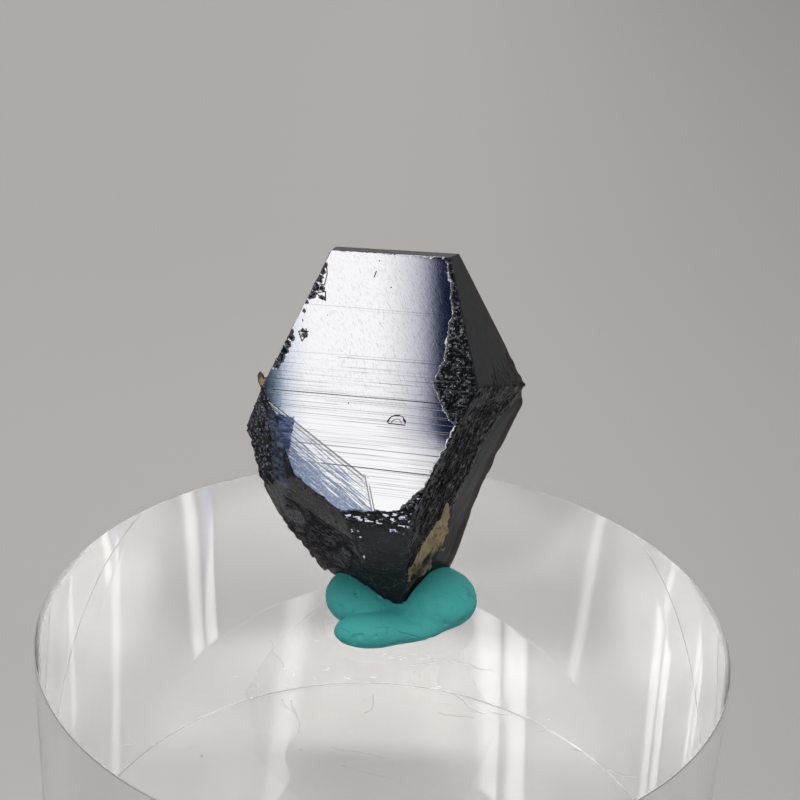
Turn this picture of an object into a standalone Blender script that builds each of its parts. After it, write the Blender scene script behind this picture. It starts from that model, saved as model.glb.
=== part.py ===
"""Anatase specimen: a black anatase crystal held by a lump of tack on a clear round acrylic block.

Metres, +Z up. The origin is the centre of the block's underside, and -Y is the side it is looked at from.
"""

import math

import bmesh
import bpy
from mathutils import Matrix, Vector

MM = 0.001

# The block: a sawn and polished length of 50 mm rod.
BLOCK_DIAMETER = 50.0 * MM
BLOCK_HEIGHT = 50.0 * MM
BLOCK_EDGE_BREAK = 0.4 * MM
BLOCK_SIDES = 128

# Gap left between pieces that touch.
GAP = 0.3 * MM

# The crystal stands with its long axis leaning back and a little to the left. Its own frame has +Z along
# that axis and -Y towards the large bright face.
CRYSTAL_CENTRE = Vector((0.0, 5.0 * MM, BLOCK_HEIGHT + 14.0 * MM))
CRYSTAL_HEADING = math.radians(-23.9)
CRYSTAL_LEAN_BACK = math.radians(-7.5)
CRYSTAL_LEAN_SIDE = math.radians(-7.8)
CRYSTAL_STOCK = 60.0 * MM

# Each face as bearing from the bright face towards the right, rise of its outward direction above the
# crystal's level plane, and distance from the centre in mm. Sound pyramid faces of anatase come every
# 90 degrees and rise or fall 21.7 degrees. These lean off that by a few degrees, as grown faces do.
GROWN_FACES = {
    "tip": (153.5, 87.8, 11.97),
    "upper_front": (3.4, 25.4, 5.23),
    "upper_right": (95.4, 20.6, 8.40),
    "upper_left": (-71.5, 27.6, 9.43),
    "upper_back": (-178.2, 21.0, 6.06),
    "lower_front": (7.8, -29.6, 9.21),
    "lower_right": (86.2, -20.1, 6.39),
    "lower_left": (-102.1, -19.3, 10.06),
    "lower_back": (180.0, -21.7, 6.40),
}
BROKEN_FACES = {
    "left_shoulder": (-40.1, -4.9, 8.62),
    "left_notch": (-34.3, -21.4, 8.87),
    "left_break": (-26.2, -28.4, 8.74),
    "left_under": (-99.3, -32.3, 10.97),
    "right_back_break": (151.9, -16.9, 8.93),
    "foot": (-114.4, -77.5, 12.60),
}

# The tan remnant lies in a shallow hollow of the lower right face. Its outline is given on that face, in mm:
# along the face's level line towards the front, and down the face.
REMNANT_OUTLINE = [(0.2, 4.7), (-2.4, 7.4), (-1.9, 9.0), (-0.2, 8.2), (0.4, 9.0), (1.1, 10.4), (2.4, 10.6),
                   (3.4, 8.6), (3.0, 7.3), (1.9, 6.4)]
REMNANT_THICKNESS = 0.6 * MM

# The blade on the left edge: width, thickness and height, and where it stands, in the crystal's frame.
BLADE_SIZE = (0.55 * MM, 0.28 * MM, 1.45 * MM)
BLADE_PLACE = Vector((-8.8 * MM, -3.9 * MM, 2.9 * MM))
BLADE_LEAN = math.radians(12.0)
BLADE_SIDES = 16
BLADE_RINGS = 10

# The tack's lumps: centre and half sizes in mm, from the block's top.
TACK_LUMPS = [
    ((-2.2, 1.2, 1.3), (2.3, 2.7, 2.0)),
    ((3.5, 1.2, 1.3), (3.3, 3.3, 2.0)),
    ((-1.2, -2.0, 0.7), (2.6, 2.2, 1.2)),
    ((0.6, 2.6, 0.9), (3.9, 4.6, 1.8)),
]
LUMP_SIDES = 32
LUMP_RINGS = 16

SHARP_ANGLE = math.radians(30.0)
LONGEST_MITRE = 2.0

# Finishes: colour, roughness, how much light passes through, and refractive index.
FINISHES = {
    "anatase": ((0.012, 0.014, 0.022), 0.12, 0.0, 2.5),
    "tan_rock": ((0.36, 0.27, 0.16), 0.8, 0.0, 1.5),
    "honey_blade": ((0.45, 0.30, 0.16), 0.25, 0.5, 1.5),
    "green_tack": ((0.05, 0.33, 0.29), 0.65, 0.0, 1.5),
    "clear_acrylic": ((0.97, 0.98, 0.98), 0.02, 1.0, 1.49),
}


def clear_scene():
    for obj in list(bpy.data.objects):
        bpy.data.objects.remove(obj, do_unlink=True)


def material(name):
    colour, roughness, transmission, ior = FINISHES[name]
    made = bpy.data.materials.new(name)
    made.use_nodes = True
    shader = made.node_tree.nodes["Principled BSDF"]
    shader.inputs["Base Color"].default_value = (*colour, 1.0)
    shader.inputs["Roughness"].default_value = roughness
    shader.inputs["Metallic"].default_value = 0.0
    shader.inputs["Transmission Weight"].default_value = transmission
    shader.inputs["IOR"].default_value = ior
    return made


def add_object(name, bm, finish, parent=None):
    mesh = bpy.data.meshes.new(name)
    bmesh.ops.recalc_face_normals(bm, faces=bm.faces)
    bm.to_mesh(mesh)
    bm.free()
    mesh.materials.append(finish)
    obj = bpy.data.objects.new(name, mesh)
    bpy.context.scene.collection.objects.link(obj)
    obj.parent = parent
    return obj


def hide_helper(obj):
    obj.hide_render = True
    obj.display_type = "WIRE"


def face_direction(bearing, rise):
    """Outward direction of a face: bearing 0 is -Y and 90 is +X, and the rise is towards +Z."""
    turn = math.radians(bearing)
    climb = math.radians(rise)
    return Vector((math.sin(turn) * math.cos(climb), -math.cos(turn) * math.cos(climb), math.sin(climb)))


def cut_stock(faces, extra=0.0):
    """A cube of stock, cut flat along each face as a stone cutter would, each face moved out by extra."""
    bm = bmesh.new()
    bmesh.ops.create_cube(bm, size=CRYSTAL_STOCK)
    for bearing, rise, distance in faces.values():
        outward = face_direction(bearing, rise)
        cut = bmesh.ops.bisect_plane(
            bm,
            geom=bm.verts[:] + bm.edges[:] + bm.faces[:],
            plane_co=outward * (distance * MM + extra),
            plane_no=outward,
            clear_outer=True,
        )
        rim = [item for item in cut["geom_cut"] if isinstance(item, bmesh.types.BMEdge)]
        if rim:
            bmesh.ops.contextual_create(bm, geom=rim)
    return bm


def crystal_frame():
    frame = bpy.data.objects.new("crystal_frame", None)
    bpy.context.scene.collection.objects.link(frame)
    frame.location = CRYSTAL_CENTRE
    frame.rotation_mode = "YXZ"
    frame.rotation_euler = (CRYSTAL_LEAN_BACK, CRYSTAL_LEAN_SIDE, CRYSTAL_HEADING)
    return frame


def face_matrix(face):
    """The plane of a face: X along its level line, Y down it and Z outwards, from the foot of its distance."""
    bearing, rise, distance = face
    outward = face_direction(bearing, rise)
    level = Vector((0.0, 0.0, 1.0)).cross(outward).normalized()
    downward = outward.cross(level)
    if downward.z > 0.0:
        downward.negate()
        level.negate()
    turned = Matrix((level, downward, outward)).transposed().to_4x4()
    turned.translation = outward * (distance * MM)
    return turned


def plate(outline, low, high, matrix):
    """An outline in mm, drawn out between two heights over a face."""
    bm = bmesh.new()
    rings = [
        [bm.verts.new(matrix @ Vector((x * MM, y * MM, height))) for x, y in outline]
        for height in (low, high)
    ]
    bm.faces.new(rings[0])
    bm.faces.new(rings[1])
    for i in range(len(outline)):
        j = (i + 1) % len(outline)
        bm.faces.new((rings[0][i], rings[0][j], rings[1][j], rings[1][i]))
    return bm


def make_block():
    bm = bmesh.new()
    radius = BLOCK_DIAMETER / 2
    profile = [
        (radius - BLOCK_EDGE_BREAK, BLOCK_HEIGHT),
        (radius, BLOCK_HEIGHT - BLOCK_EDGE_BREAK),
        (radius, BLOCK_EDGE_BREAK),
        (radius - BLOCK_EDGE_BREAK, 0.0),
    ]
    rings = []
    for r, z in profile:
        angles = (2 * math.pi * i / BLOCK_SIDES for i in range(BLOCK_SIDES))
        rings.append([bm.verts.new((r * math.cos(a), r * math.sin(a), z)) for a in angles])
    for upper, lower in zip(rings, rings[1:]):
        for i in range(BLOCK_SIDES):
            j = (i + 1) % BLOCK_SIDES
            bm.faces.new((upper[i], upper[j], lower[j], lower[i]))
    bm.faces.new(rings[0])
    bm.faces.new(rings[-1])
    block = add_object("acrylic_block", bm, material("clear_acrylic"))
    block.data.shade_smooth()
    block.data.set_sharp_from_angle(angle=SHARP_ANGLE)


def make_crystal(frame):
    faces = {**GROWN_FACES, **BROKEN_FACES}
    black = material("anatase")
    crystal = add_object("anatase_crystal", cut_stock(faces), black, frame)
    wall = plate(
        grown_outline(REMNANT_OUTLINE, GAP / MM),
        -REMNANT_THICKNESS - GAP,
        GAP,
        face_matrix(GROWN_FACES["lower_right"]),
    )
    hollow = add_object("hollow_cutter", wall, black, frame)
    hide_helper(hollow)
    cut = crystal.modifiers.new("hollow", "BOOLEAN")
    cut.operation = "DIFFERENCE"
    cut.solver = "EXACT"
    cut.object = hollow


def grown_outline(outline, by):
    """The outline moved out by a distance: each corner slides along its mitre."""
    corners = [Vector(corner) for corner in outline]
    area = sum(a.cross(b) for a, b in zip(corners, corners[1:] + corners[:1]))
    side = math.copysign(1.0, area)
    moved = []
    for before, here, after in zip(corners[-1:] + corners, corners, corners[1:] + corners[:1]):
        first = (here - before).normalized()
        second = (after - here).normalized()
        out_first = Vector((first.y, -first.x)) * side
        out_second = Vector((second.y, -second.x)) * side
        mitre = (out_first + out_second).normalized()
        moved.append(here + mitre * (by * min(LONGEST_MITRE, 1.0 / mitre.dot(out_first))))
    return moved


def make_remnant(frame):
    place = face_matrix(GROWN_FACES["lower_right"])
    slab = plate(REMNANT_OUTLINE, -REMNANT_THICKNESS, 0.0, place)
    add_object("matrix_remnant", slab, material("tan_rock"), frame)


def make_blade(frame):
    bm = bmesh.new()
    bmesh.ops.create_uvsphere(bm, u_segments=BLADE_SIDES, v_segments=BLADE_RINGS, radius=0.5)
    width, thickness, height = BLADE_SIZE
    lean = Matrix.Rotation(BLADE_LEAN, 4, "Y")
    shape = Matrix.Translation(BLADE_PLACE) @ lean @ Matrix.Diagonal((width, thickness, height, 1.0))
    bm.transform(shape)
    add_object("side_blade", bm, material("honey_blade"), frame)


def make_tack(frame):
    green = material("green_tack")
    lumps = []
    for i, (centre, half) in enumerate(TACK_LUMPS):
        bm = bmesh.new()
        bmesh.ops.create_uvsphere(bm, u_segments=LUMP_SIDES, v_segments=LUMP_RINGS, radius=1.0)
        x, y, z = (value * MM for value in centre)
        lift = Matrix.Translation((x, y, BLOCK_HEIGHT + z))
        bm.transform(lift @ Matrix.Diagonal((half[0] * MM, half[1] * MM, half[2] * MM, 1.0)))
        lumps.append(add_object("mineral_tack" if i == 0 else f"tack_lump_{i}", bm, green))
    tack = lumps[0]
    for lump in lumps[1:]:
        hide_helper(lump)
        join = tack.modifiers.new(lump.name, "BOOLEAN")
        join.operation = "UNION"
        join.solver = "EXACT"
        join.object = lump
    bm = bmesh.new()
    bmesh.ops.create_cube(bm, size=BLOCK_DIAMETER)
    bm.transform(Matrix.Translation((0.0, 0.0, BLOCK_HEIGHT + GAP - BLOCK_DIAMETER / 2)))
    pocket = cut_stock({**GROWN_FACES, **BROKEN_FACES}, GAP)
    cutters = [add_object("table_cutter", bm, green), add_object("pocket_cutter", pocket, green, frame)]
    for cutter in cutters:
        hide_helper(cutter)
        cut = tack.modifiers.new(cutter.name, "BOOLEAN")
        cut.operation = "DIFFERENCE"
        cut.solver = "EXACT"
        cut.object = cutter


def main():
    clear_scene()
    frame = crystal_frame()
    make_block()
    make_crystal(frame)
    make_remnant(frame)
    make_blade(frame)
    make_tack(frame)


main()
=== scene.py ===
"""Looks of the anatase specimen: the grown and broken faces of the crystal, the rock left on it, the blade,
the tack, the clear block, and a plain stage with soft light."""

import math

import bpy
import numpy as np
from bpy.props import FloatProperty, FloatVectorProperty, IntProperty, PointerProperty
from mathutils import Euler, Matrix, Vector


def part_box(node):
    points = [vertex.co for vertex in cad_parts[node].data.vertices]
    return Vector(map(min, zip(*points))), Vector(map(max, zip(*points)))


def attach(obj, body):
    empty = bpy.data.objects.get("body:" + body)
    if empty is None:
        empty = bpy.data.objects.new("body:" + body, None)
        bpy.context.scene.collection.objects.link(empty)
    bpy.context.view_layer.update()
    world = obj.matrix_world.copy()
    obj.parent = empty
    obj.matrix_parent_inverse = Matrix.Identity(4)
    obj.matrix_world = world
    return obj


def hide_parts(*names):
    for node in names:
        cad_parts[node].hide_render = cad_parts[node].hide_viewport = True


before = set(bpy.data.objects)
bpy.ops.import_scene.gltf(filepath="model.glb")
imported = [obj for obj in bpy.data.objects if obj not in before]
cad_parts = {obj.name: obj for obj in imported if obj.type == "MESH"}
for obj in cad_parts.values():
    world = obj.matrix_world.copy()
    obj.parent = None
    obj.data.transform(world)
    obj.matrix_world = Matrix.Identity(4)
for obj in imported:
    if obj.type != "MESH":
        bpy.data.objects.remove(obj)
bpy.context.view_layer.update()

bl_info = {
    "name": "Anatase Specimen",
    "version": (1, 0, 0),
    "blender": (4, 5, 0),
    "location": "View3D > Sidebar > Specimen",
    "description": "An anatase crystal held by tack on a clear round block",
    "category": "Add Mesh",
}

MM = 0.001
BODY = "root"
BLOCK_LOW, BLOCK_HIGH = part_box("acrylic_block")
BLOCK_TOP = BLOCK_HIGH.z
BLOCK_RADIUS = (BLOCK_HIGH.x - BLOCK_LOW.x) / 2

# The crystal's own frame: -Y looks out of the bright face, +Z runs along the crystal.
CRYSTAL_CENTRE = np.array((0.0, 5.0 * MM, BLOCK_TOP + 14.0 * MM))
CRYSTAL_TURN = np.array(Euler([math.radians(angle) for angle in (-7.5, -7.8, -23.9)], "YXZ").to_matrix())

# Each face's bearing from the bright face towards the right, and its rise, in degrees: enough to know it by.
FACE_NAMES = {
    "tip": (150, 88), "upper_front": (3, 25), "upper_right": (95, 21), "upper_left": (-72, 28),
    "upper_back": (-178, 21), "lower_front": (8, -30), "lower_right": (86, -20), "lower_left": (-102, -19),
    "lower_back": (180, -22), "left_shoulder": (-40, -5), "left_notch": (-34, -21), "left_break": (-26, -28),
    "left_under": (-99, -32), "right_back_break": (152, -17), "foot": (-114, -77),
}


# Numbers that look random but are the same in every run.

def lattice(cell, seed):
    """A number from 0 to 1 for each whole-numbered point: its three indices are multiplied by odd numbers,
    added, and stirred by shifts and products that wrap round at 32 bits."""
    mixed = (cell.astype(np.int64) * np.array((73856093, 19349663, 83492791))).sum(axis=-1)
    mixed = ((mixed + seed * 2654435761) & 0xFFFFFFFF).astype(np.uint64)
    for shift, factor in ((16, 0x7FEB352D), (15, 0x846CA68B), (16, 1)):
        mixed = ((mixed ^ (mixed >> np.uint64(shift))) * np.uint64(factor)) & np.uint64(0xFFFFFFFF)
    return mixed.astype(float) / 0xFFFFFFFF


def noise(points, size, seed):
    """Soft noise from -1 to 1: the lattice's numbers at the eight corners of a point's cell, blended by
    3t^2 - 2t^3. The size is one number, or one for each axis."""
    scaled = points / size
    cell = np.floor(scaled)
    part = scaled - cell
    part = part * part * (3 - 2 * part)
    total = 0.0
    for corner in np.ndindex(2, 2, 2):
        share = np.prod(np.where(np.array(corner) == 1, part, 1 - part), axis=-1)
        total = total + share * lattice(cell + np.array(corner), seed)
    return 2 * total - 1


def rough_noise(points, size, seed, octaves=3):
    """Noise summed over octaves, each half as large and half as strong as the one before."""
    size = np.asarray(size, float)
    return sum(noise(points, size / 2 ** k, seed + k) / 2 ** k for k in range(octaves)) / 1.75


def flakes(points, size, seed, tilt=1.0):
    """Broken ground from about -1 to 1: each point takes the height and slope of its nearest seed point, one
    seed point to a cell, so that the ground is made of small flat facets with sharp borders."""
    scaled = points / size
    cell = np.floor(scaled)
    nearest = np.full(points.shape[:-1], np.inf)
    height = np.zeros(points.shape[:-1])
    for step in np.ndindex(3, 3, 3):
        near = cell + np.array(step) - 1
        apart = scaled - near - np.stack([lattice(near, seed + k) for k in range(3)], axis=-1)
        slope = np.stack([lattice(near, seed + 3 + k) for k in range(3)], axis=-1) - 0.5
        reach = (apart ** 2).sum(axis=-1)
        level = lattice(near, seed + 6) - 0.5 + tilt * (apart * slope).sum(axis=-1)
        height = np.where(reach < nearest, level, height)
        nearest = np.minimum(reach, nearest)
    return 2 * height


def smooth_step(low, high, value):
    """0 below low, 1 above high, and 3t^2 - 2t^3 between them."""
    part = np.clip((value - low) / (high - low), 0, 1)
    return part * part * (3 - 2 * part)


def unit(vectors):
    return vectors / np.linalg.norm(vectors, axis=-1, keepdims=True)


# Meshes.

def grid_triangles(rows, columns, closed_rows=False, closed_columns=False, turned=None):
    """Two triangles for each cell of a grid of points. Where turned is true for a cell, its diagonal runs the
    other way."""
    down = np.arange(rows if closed_rows else rows - 1)
    across = np.arange(columns if closed_columns else columns - 1)
    i, j = (part.ravel() for part in np.meshgrid(down, across, indexing="ij"))
    a = i * columns + j
    b = i * columns + (j + 1) % columns
    c = ((i + 1) % rows) * columns + (j + 1) % columns
    d = ((i + 1) % rows) * columns + j
    other = np.zeros(len(a), bool) if turned is None else turned(a, b, c, d)
    first = np.where(other[:, None], np.stack([a, b, d], 1), np.stack([a, b, c], 1))
    second = np.where(other[:, None], np.stack([b, c, d], 1), np.stack([a, c, d], 1))
    return np.concatenate([first, second])


def fan(centre, ring):
    """Triangles from one point to a closed ring of points."""
    ring = np.asarray(ring)
    return np.stack([np.full(len(ring), centre), ring, np.roll(ring, -1)], axis=1)


def closed_rings(rows, columns, turned_over=False):
    """Triangles between rings of points one after another, and a fan at each end to a point that follows
    them."""
    first = rows * columns
    ring = np.arange(columns)
    triangles = np.concatenate([grid_triangles(rows, columns, closed_columns=True), fan(first, ring[::-1]),
                                fan(first + 1, ring + first - columns)])
    return triangles[:, ::-1] if turned_over else triangles


def build(name, points, faces, finishes, slots=None, sharp=None, values=None):
    """A mesh object at the origin from whole arrays of points in metres and of triangles. Values are numbers
    kept for each point under a name, which a finish can read."""
    mesh = bpy.data.meshes.new(name)
    faces = np.asarray(faces, np.int32)
    mesh.vertices.add(len(points))
    mesh.vertices.foreach_set("co", np.asarray(points, np.float32).ravel())
    mesh.loops.add(faces.size)
    mesh.loops.foreach_set("vertex_index", faces.ravel())
    mesh.polygons.add(len(faces))
    mesh.polygons.foreach_set("loop_start", np.arange(len(faces), dtype=np.int32) * faces.shape[1])
    for finish in finishes:
        mesh.materials.append(finish)
    if slots is not None:
        mesh.polygons.foreach_set("material_index", np.asarray(slots, np.int32))
    for key, numbers in (values or {}).items():
        mesh.attributes.new(key, "FLOAT", "POINT").data.foreach_set("value", np.asarray(numbers, np.float32))
    mesh.update(calc_edges=True)
    mesh.validate()
    mesh.shade_smooth()
    if sharp is not None:
        mesh.set_sharp_from_angle(angle=math.radians(sharp))
    obj = bpy.data.objects.new(name, mesh)
    bpy.context.scene.collection.objects.link(obj)
    return obj


def settle(obj, slot, *nodes):
    """The piece stands for its CAD nodes and rides on the one body."""
    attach(obj, BODY)
    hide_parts(*nodes)


# Materials.

class Value:
    """A shader socket that takes part in arithmetic: each operator adds one Math node."""

    def __init__(self, tree, socket):
        self.tree = tree
        self.socket = socket

    def __add__(self, other):
        return self.tree.maths("ADD", self, other)

    def __sub__(self, other):
        return self.tree.maths("SUBTRACT", self, other)

    def __rsub__(self, other):
        return self.tree.maths("SUBTRACT", other, self)

    def __mul__(self, other):
        return self.tree.maths("MULTIPLY", self, other)

    def __truediv__(self, other):
        return self.tree.maths("DIVIDE", self, other)

    def __rtruediv__(self, other):
        return self.tree.maths("DIVIDE", other, self)

    __radd__ = __add__
    __rmul__ = __mul__


class Tree:
    """A node tree that is written as expressions."""

    def __init__(self, nodes):
        self.nodes = nodes

    def feed(self, socket, value):
        """Links a Value to a socket, or sets the socket to a number, a vector or a colour."""
        if isinstance(value, Value):
            self.nodes.links.new(value.socket, socket)
        elif hasattr(socket.default_value, "__len__") and len(socket.default_value) == 4:
            socket.default_value = (*value, 1.0)
        else:
            socket.default_value = value

    def node(self, kind, settings=None, sockets=None, out=0):
        """Any node: its settings are set first, then the values or links of its sockets."""
        made = self.nodes.nodes.new("ShaderNode" + kind)
        for name, value in (settings or {}).items():
            setattr(made, name, value)
        for name, value in (sockets or {}).items():
            self.feed(made.inputs[name], value)
        return Value(self, made.outputs[out])

    def maths(self, operation, *values):
        return self.node("Math", {"operation": operation}, dict(enumerate(values)))

    def vector(self, operation, *values, out=0):
        return self.node("VectorMath", {"operation": operation}, dict(enumerate(values)), out)

    def dot(self, first, second):
        return self.vector("DOT_PRODUCT", first, second, out="Value")

    def scaled(self, vector, factor):
        return self.node("VectorMath", {"operation": "SCALE"}, {"Vector": vector, "Scale": factor})

    def smallest(self, first, *others):
        for other in others:
            first = self.maths("MINIMUM", first, other)
        return first

    def largest(self, first, *others):
        for other in others:
            first = self.maths("MAXIMUM", first, other)
        return first

    def size(self, value):
        return self.maths("ABSOLUTE", value)

    def mix(self, factor, first, second):
        """Colours blended by a factor."""
        return self.node("Mix", {"data_type": "RGBA"}, {0: factor, 6: first, 7: second}, 2)

    def ramp(self, value, low, high, start=0.0, end=1.0):
        """A smooth step from start to end as the value goes from low to high."""
        if low > high:
            low, high, start, end = high, low, end, start
        sockets = {"Value": value, "From Min": low, "From Max": high, "To Min": start, "To Max": end}
        return self.node("MapRange", {"interpolation_type": "SMOOTHSTEP"}, sockets)

    def between(self, value, low, high, soft):
        """1 from low to high, falling softly to 0 on either side."""
        return self.ramp(value, low - soft, low) * self.ramp(value, high + soft, high)

    def colours(self, value, stops):
        """A colour for each value from 0 to 1, blended between stops of place and colour."""
        made = self.nodes.nodes.new("ShaderNodeValToRGB")
        ramp = made.color_ramp
        for place, colour in stops[1:-1]:
            ramp.elements.new(place)
        for element, (place, colour) in zip(ramp.elements, stops):
            element.position = place
            element.color = (*colour, 1.0)
        self.feed(made.inputs[0], value)
        return Value(self, made.outputs[0])

    def curve(self, value, places, low, high, least, most):
        """A line through places of value and result: values lie from low to high, results from least to
        most."""
        made = self.node("FloatCurve", None, {"Value": (value - low) / (high - low)})
        mapping = made.socket.node.mapping
        within = [((place - low) / (high - low), (result - least) / (most - least))
                  for place, result in places]
        for spot in within[1:-1]:
            mapping.curves[0].points.new(*spot)
        for point, spot in zip(mapping.curves[0].points, within):
            point.location = spot
            point.handle_type = "VECTOR"
        mapping.update()
        return made * (most - least) + least

    def parts(self, vector):
        made = self.nodes.nodes.new("ShaderNodeSeparateXYZ")
        self.feed(made.inputs[0], vector)
        return [Value(self, out) for out in made.outputs]

    def joined(self, x, y, z=0.0):
        return self.node("CombineXYZ", None, {0: x, 1: y, 2: z})

    def cloud(self, vector, scale, detail=2.0, roughness=0.5, distortion=0.0):
        """Noise from 0 to 1 over a vector."""
        sockets = {"Vector": vector, "Scale": scale, "Detail": detail, "Roughness": roughness,
                   "Distortion": distortion}
        return self.node("TexNoise", None, sockets, "Fac")

    def cells(self, vector, scale, out="Distance"):
        return self.node("TexVoronoi", None, {"Vector": vector, "Scale": scale}, out)

    def stretched(self, vector, sizes, turn=0.0):
        """A vector turned about its third axis by degrees, then divided by a size along each axis."""
        turned = self.node("VectorRotate", {"rotation_type": "Z_AXIS"},
                           {"Vector": vector, "Angle": math.radians(turn)})
        return self.vector("DIVIDE", turned, sizes)

    def grain(self, vector, sizes, turn, *quality):
        """Noise whose blots have a size along each axis."""
        return self.cloud(self.stretched(vector, sizes, turn), 1.0, *quality)

    def streaks(self, x, y, *quality):
        """Noise over two values."""
        return self.cloud(self.joined(x, y), 1.0, *quality)

    def length(self, x, y):
        return self.vector("LENGTH", self.joined(x, y), out="Value")

    def around(self, value, none, full, *ends):
        """A ramp over how far a value is from 0, either way."""
        return self.ramp(self.size(value), none, full, *ends)


class Finish(Tree):
    """A material around one Principled shader."""

    def __init__(self, name, **settings):
        self.material = bpy.data.materials.new(name)
        self.material.use_nodes = True
        super().__init__(self.material.node_tree)
        self.shader = self.nodes.nodes["Principled BSDF"]
        self.set(**settings)

    def set(self, **settings):
        """Sets or links sockets of the shader, whose names are written with _ for each space."""
        for name, value in settings.items():
            self.feed(self.shader.inputs[name.replace("_", " ")], value)

    def place(self, origin=(0.0, 0.0, 0.0), turn=None):
        """Object coordinates in a turned frame at an origin, in millimetres."""
        angles = Matrix(turn).to_euler("XYZ") if turn is not None else (0.0, 0.0, 0.0)
        sockets = {"Vector": self.node("TexCoord", out="Object"), "Location": tuple(origin),
                   "Rotation": tuple(angles), "Scale": (MM, MM, MM)}
        return self.node("Mapping", {"vector_type": "TEXTURE"}, sockets)

    def on_face(self, name):
        """A vector of millimetres to the right, down and into the crystal on a face, and its three parts."""
        place = self.place(HULL.origin(name), HULL.turn(name))
        return (place, *self.parts(place))

    def bump(self, height):
        """Raises the surface by a height in millimetres."""
        self.set(Normal=self.node("Bump", None, {"Height": height, "Distance": MM}, "Normal"))


# The crystal's hull.

class Hull:
    """The flat faces of the crystal: each one's name, outward direction, distance from the crystal's
    centre, and the directions to the right and down on it."""

    def __init__(self, node):
        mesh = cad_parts[node].data
        mesh.calc_loop_triangles()
        corners = np.empty(len(mesh.vertices) * 3, np.float32)
        mesh.vertices.foreach_get("co", corners)
        corners = corners.reshape(-1, 3).astype(float) - CRYSTAL_CENTRE
        triangles = np.empty(len(mesh.loop_triangles) * 3, np.int32)
        mesh.loop_triangles.foreach_get("vertices", triangles)
        a, b, c = (corners[triangles.reshape(-1, 3)[:, k]] for k in range(3))
        across = np.cross(b - a, c - a)
        sound = np.linalg.norm(across, axis=1) > 1e-3 * MM * MM
        normals = unit(across[sound])
        distances = (normals * a[sound]).sum(axis=1)
        outermost = (corners @ normals.T - distances).max(axis=0) < 0.02 * MM
        self.names, self.normals, self.distances = [], [], []
        for name, (bearing, rise) in FACE_NAMES.items():
            turn, climb = math.radians(bearing), math.radians(rise)
            level = math.cos(climb)
            toward = CRYSTAL_TURN @ (math.sin(turn) * level, -math.cos(turn) * level, math.sin(climb))
            score = np.where(outermost, normals @ toward, -1.0)
            best = score.argmax()
            if score[best] > math.cos(math.radians(5)):
                self.names.append(name)
                self.normals.append(normals[best])
                self.distances.append(distances[best])
        self.normals = np.array(self.normals)
        self.distances = np.array(self.distances)
        upward = CRYSTAL_TURN[:, 2]
        self.rights = unit(np.cross(upward, self.normals))
        self.downs = np.cross(self.rights, self.normals)

    def index(self, name):
        return self.names.index(name)

    def slopes(self, directions):
        """n.u / d of each face for each direction: the largest is that of the face the direction meets."""
        return directions @ (self.normals / self.distances[:, None]).T

    def edge_distances(self, slopes):
        """How far, in metres, each direction's point on the hull lies from the nearest edge of its face: the
        distance below each other face's plane, divided by the sine of the angle between the two faces."""
        labels = slopes.argmax(axis=-1)
        below = self.distances * (1 - slopes / slopes.max(axis=-1, keepdims=True))
        cosines = self.normals @ self.normals.T
        sines = np.sqrt(np.maximum(1 - cosines ** 2, 1e-6))
        apart = below / sines[labels]
        np.put_along_axis(apart, labels[..., None], np.inf, axis=-1)
        return apart.min(axis=-1)

    def turn(self, name):
        """The face's own frame as columns: to the right, down and into the crystal."""
        i = self.index(name)
        return np.stack([self.rights[i], self.downs[i], -self.normals[i]], axis=1)

    def origin(self, name):
        i = self.index(name)
        return CRYSTAL_CENTRE + self.normals[i] * self.distances[i]

    def places(self, name, points):
        """Millimetres to the right and down on a face, of points about the crystal's centre."""
        i = self.index(name)
        return points @ self.rights[i] / MM, points @ self.downs[i] / MM

    def spot(self, name, right, down, out=0.0):
        """The point about the crystal's centre at a place on a face, in millimetres, raised by out."""
        i = self.index(name)
        lifted = self.normals[i] * (self.distances[i] + out * MM)
        return lifted + self.rights[i] * right * MM + self.downs[i] * down * MM


HULL = Hull("anatase_crystal")

# The crystal's grid.

BRIGHT_FACE = "upper_front"
GRID_ROWS = 498
GRID_COLUMNS = 199
# How far apart rows and columns are wanted on each face, in mm. Other faces take the last pair.
SPACINGS = {
    "upper_front": (0.11, 0.30), "lower_front": (0.13, 0.16), "left_break": (0.16, 0.16), "tip": (0.2, 0.3),
    "left_shoulder": (0.13, 0.13), "left_notch": (0.16, 0.16), "lower_right": (0.13, 0.14),
    "left_under": (0.2, 0.2), "upper_right": (0.2, 0.22), "": (0.45, 0.5),
}
EDGE_SPACING = 0.09
EDGE_WIDTH = 1.6
LEDGE_SPACING = (0.05, 0.09)
LEDGE_DEPTH = 2.2
# Steps along which rows and columns are spread.
RING_STEPS = 6001
ARC_STEPS = 1201


def wanted_spacing(directions, kind):
    """How far apart points are wanted, in metres: less near the edges of the faces that are seen, and least
    on the small ledges just below the bright face."""
    slopes = HULL.slopes(directions)
    labels = slopes.argmax(axis=-1)
    plain = np.array([SPACINGS.get(name, SPACINGS[""])[kind] for name in HULL.names])[labels]
    nearness = np.clip(HULL.edge_distances(slopes) / (EDGE_WIDTH * MM), 0, 1)
    seen = np.array([name in SPACINGS for name in HULL.names])[labels]
    spacing = np.where(seen, np.minimum(plain, EDGE_SPACING + (plain - EDGE_SPACING) * nearness), plain)
    base = directions / slopes.max(axis=-1, keepdims=True)
    _, down = HULL.places("lower_front", base)
    ledges = (labels == HULL.index("lower_front")) & (down < LEDGE_DEPTH)
    return np.where(ledges, LEDGE_SPACING[kind], spacing) * MM


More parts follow.
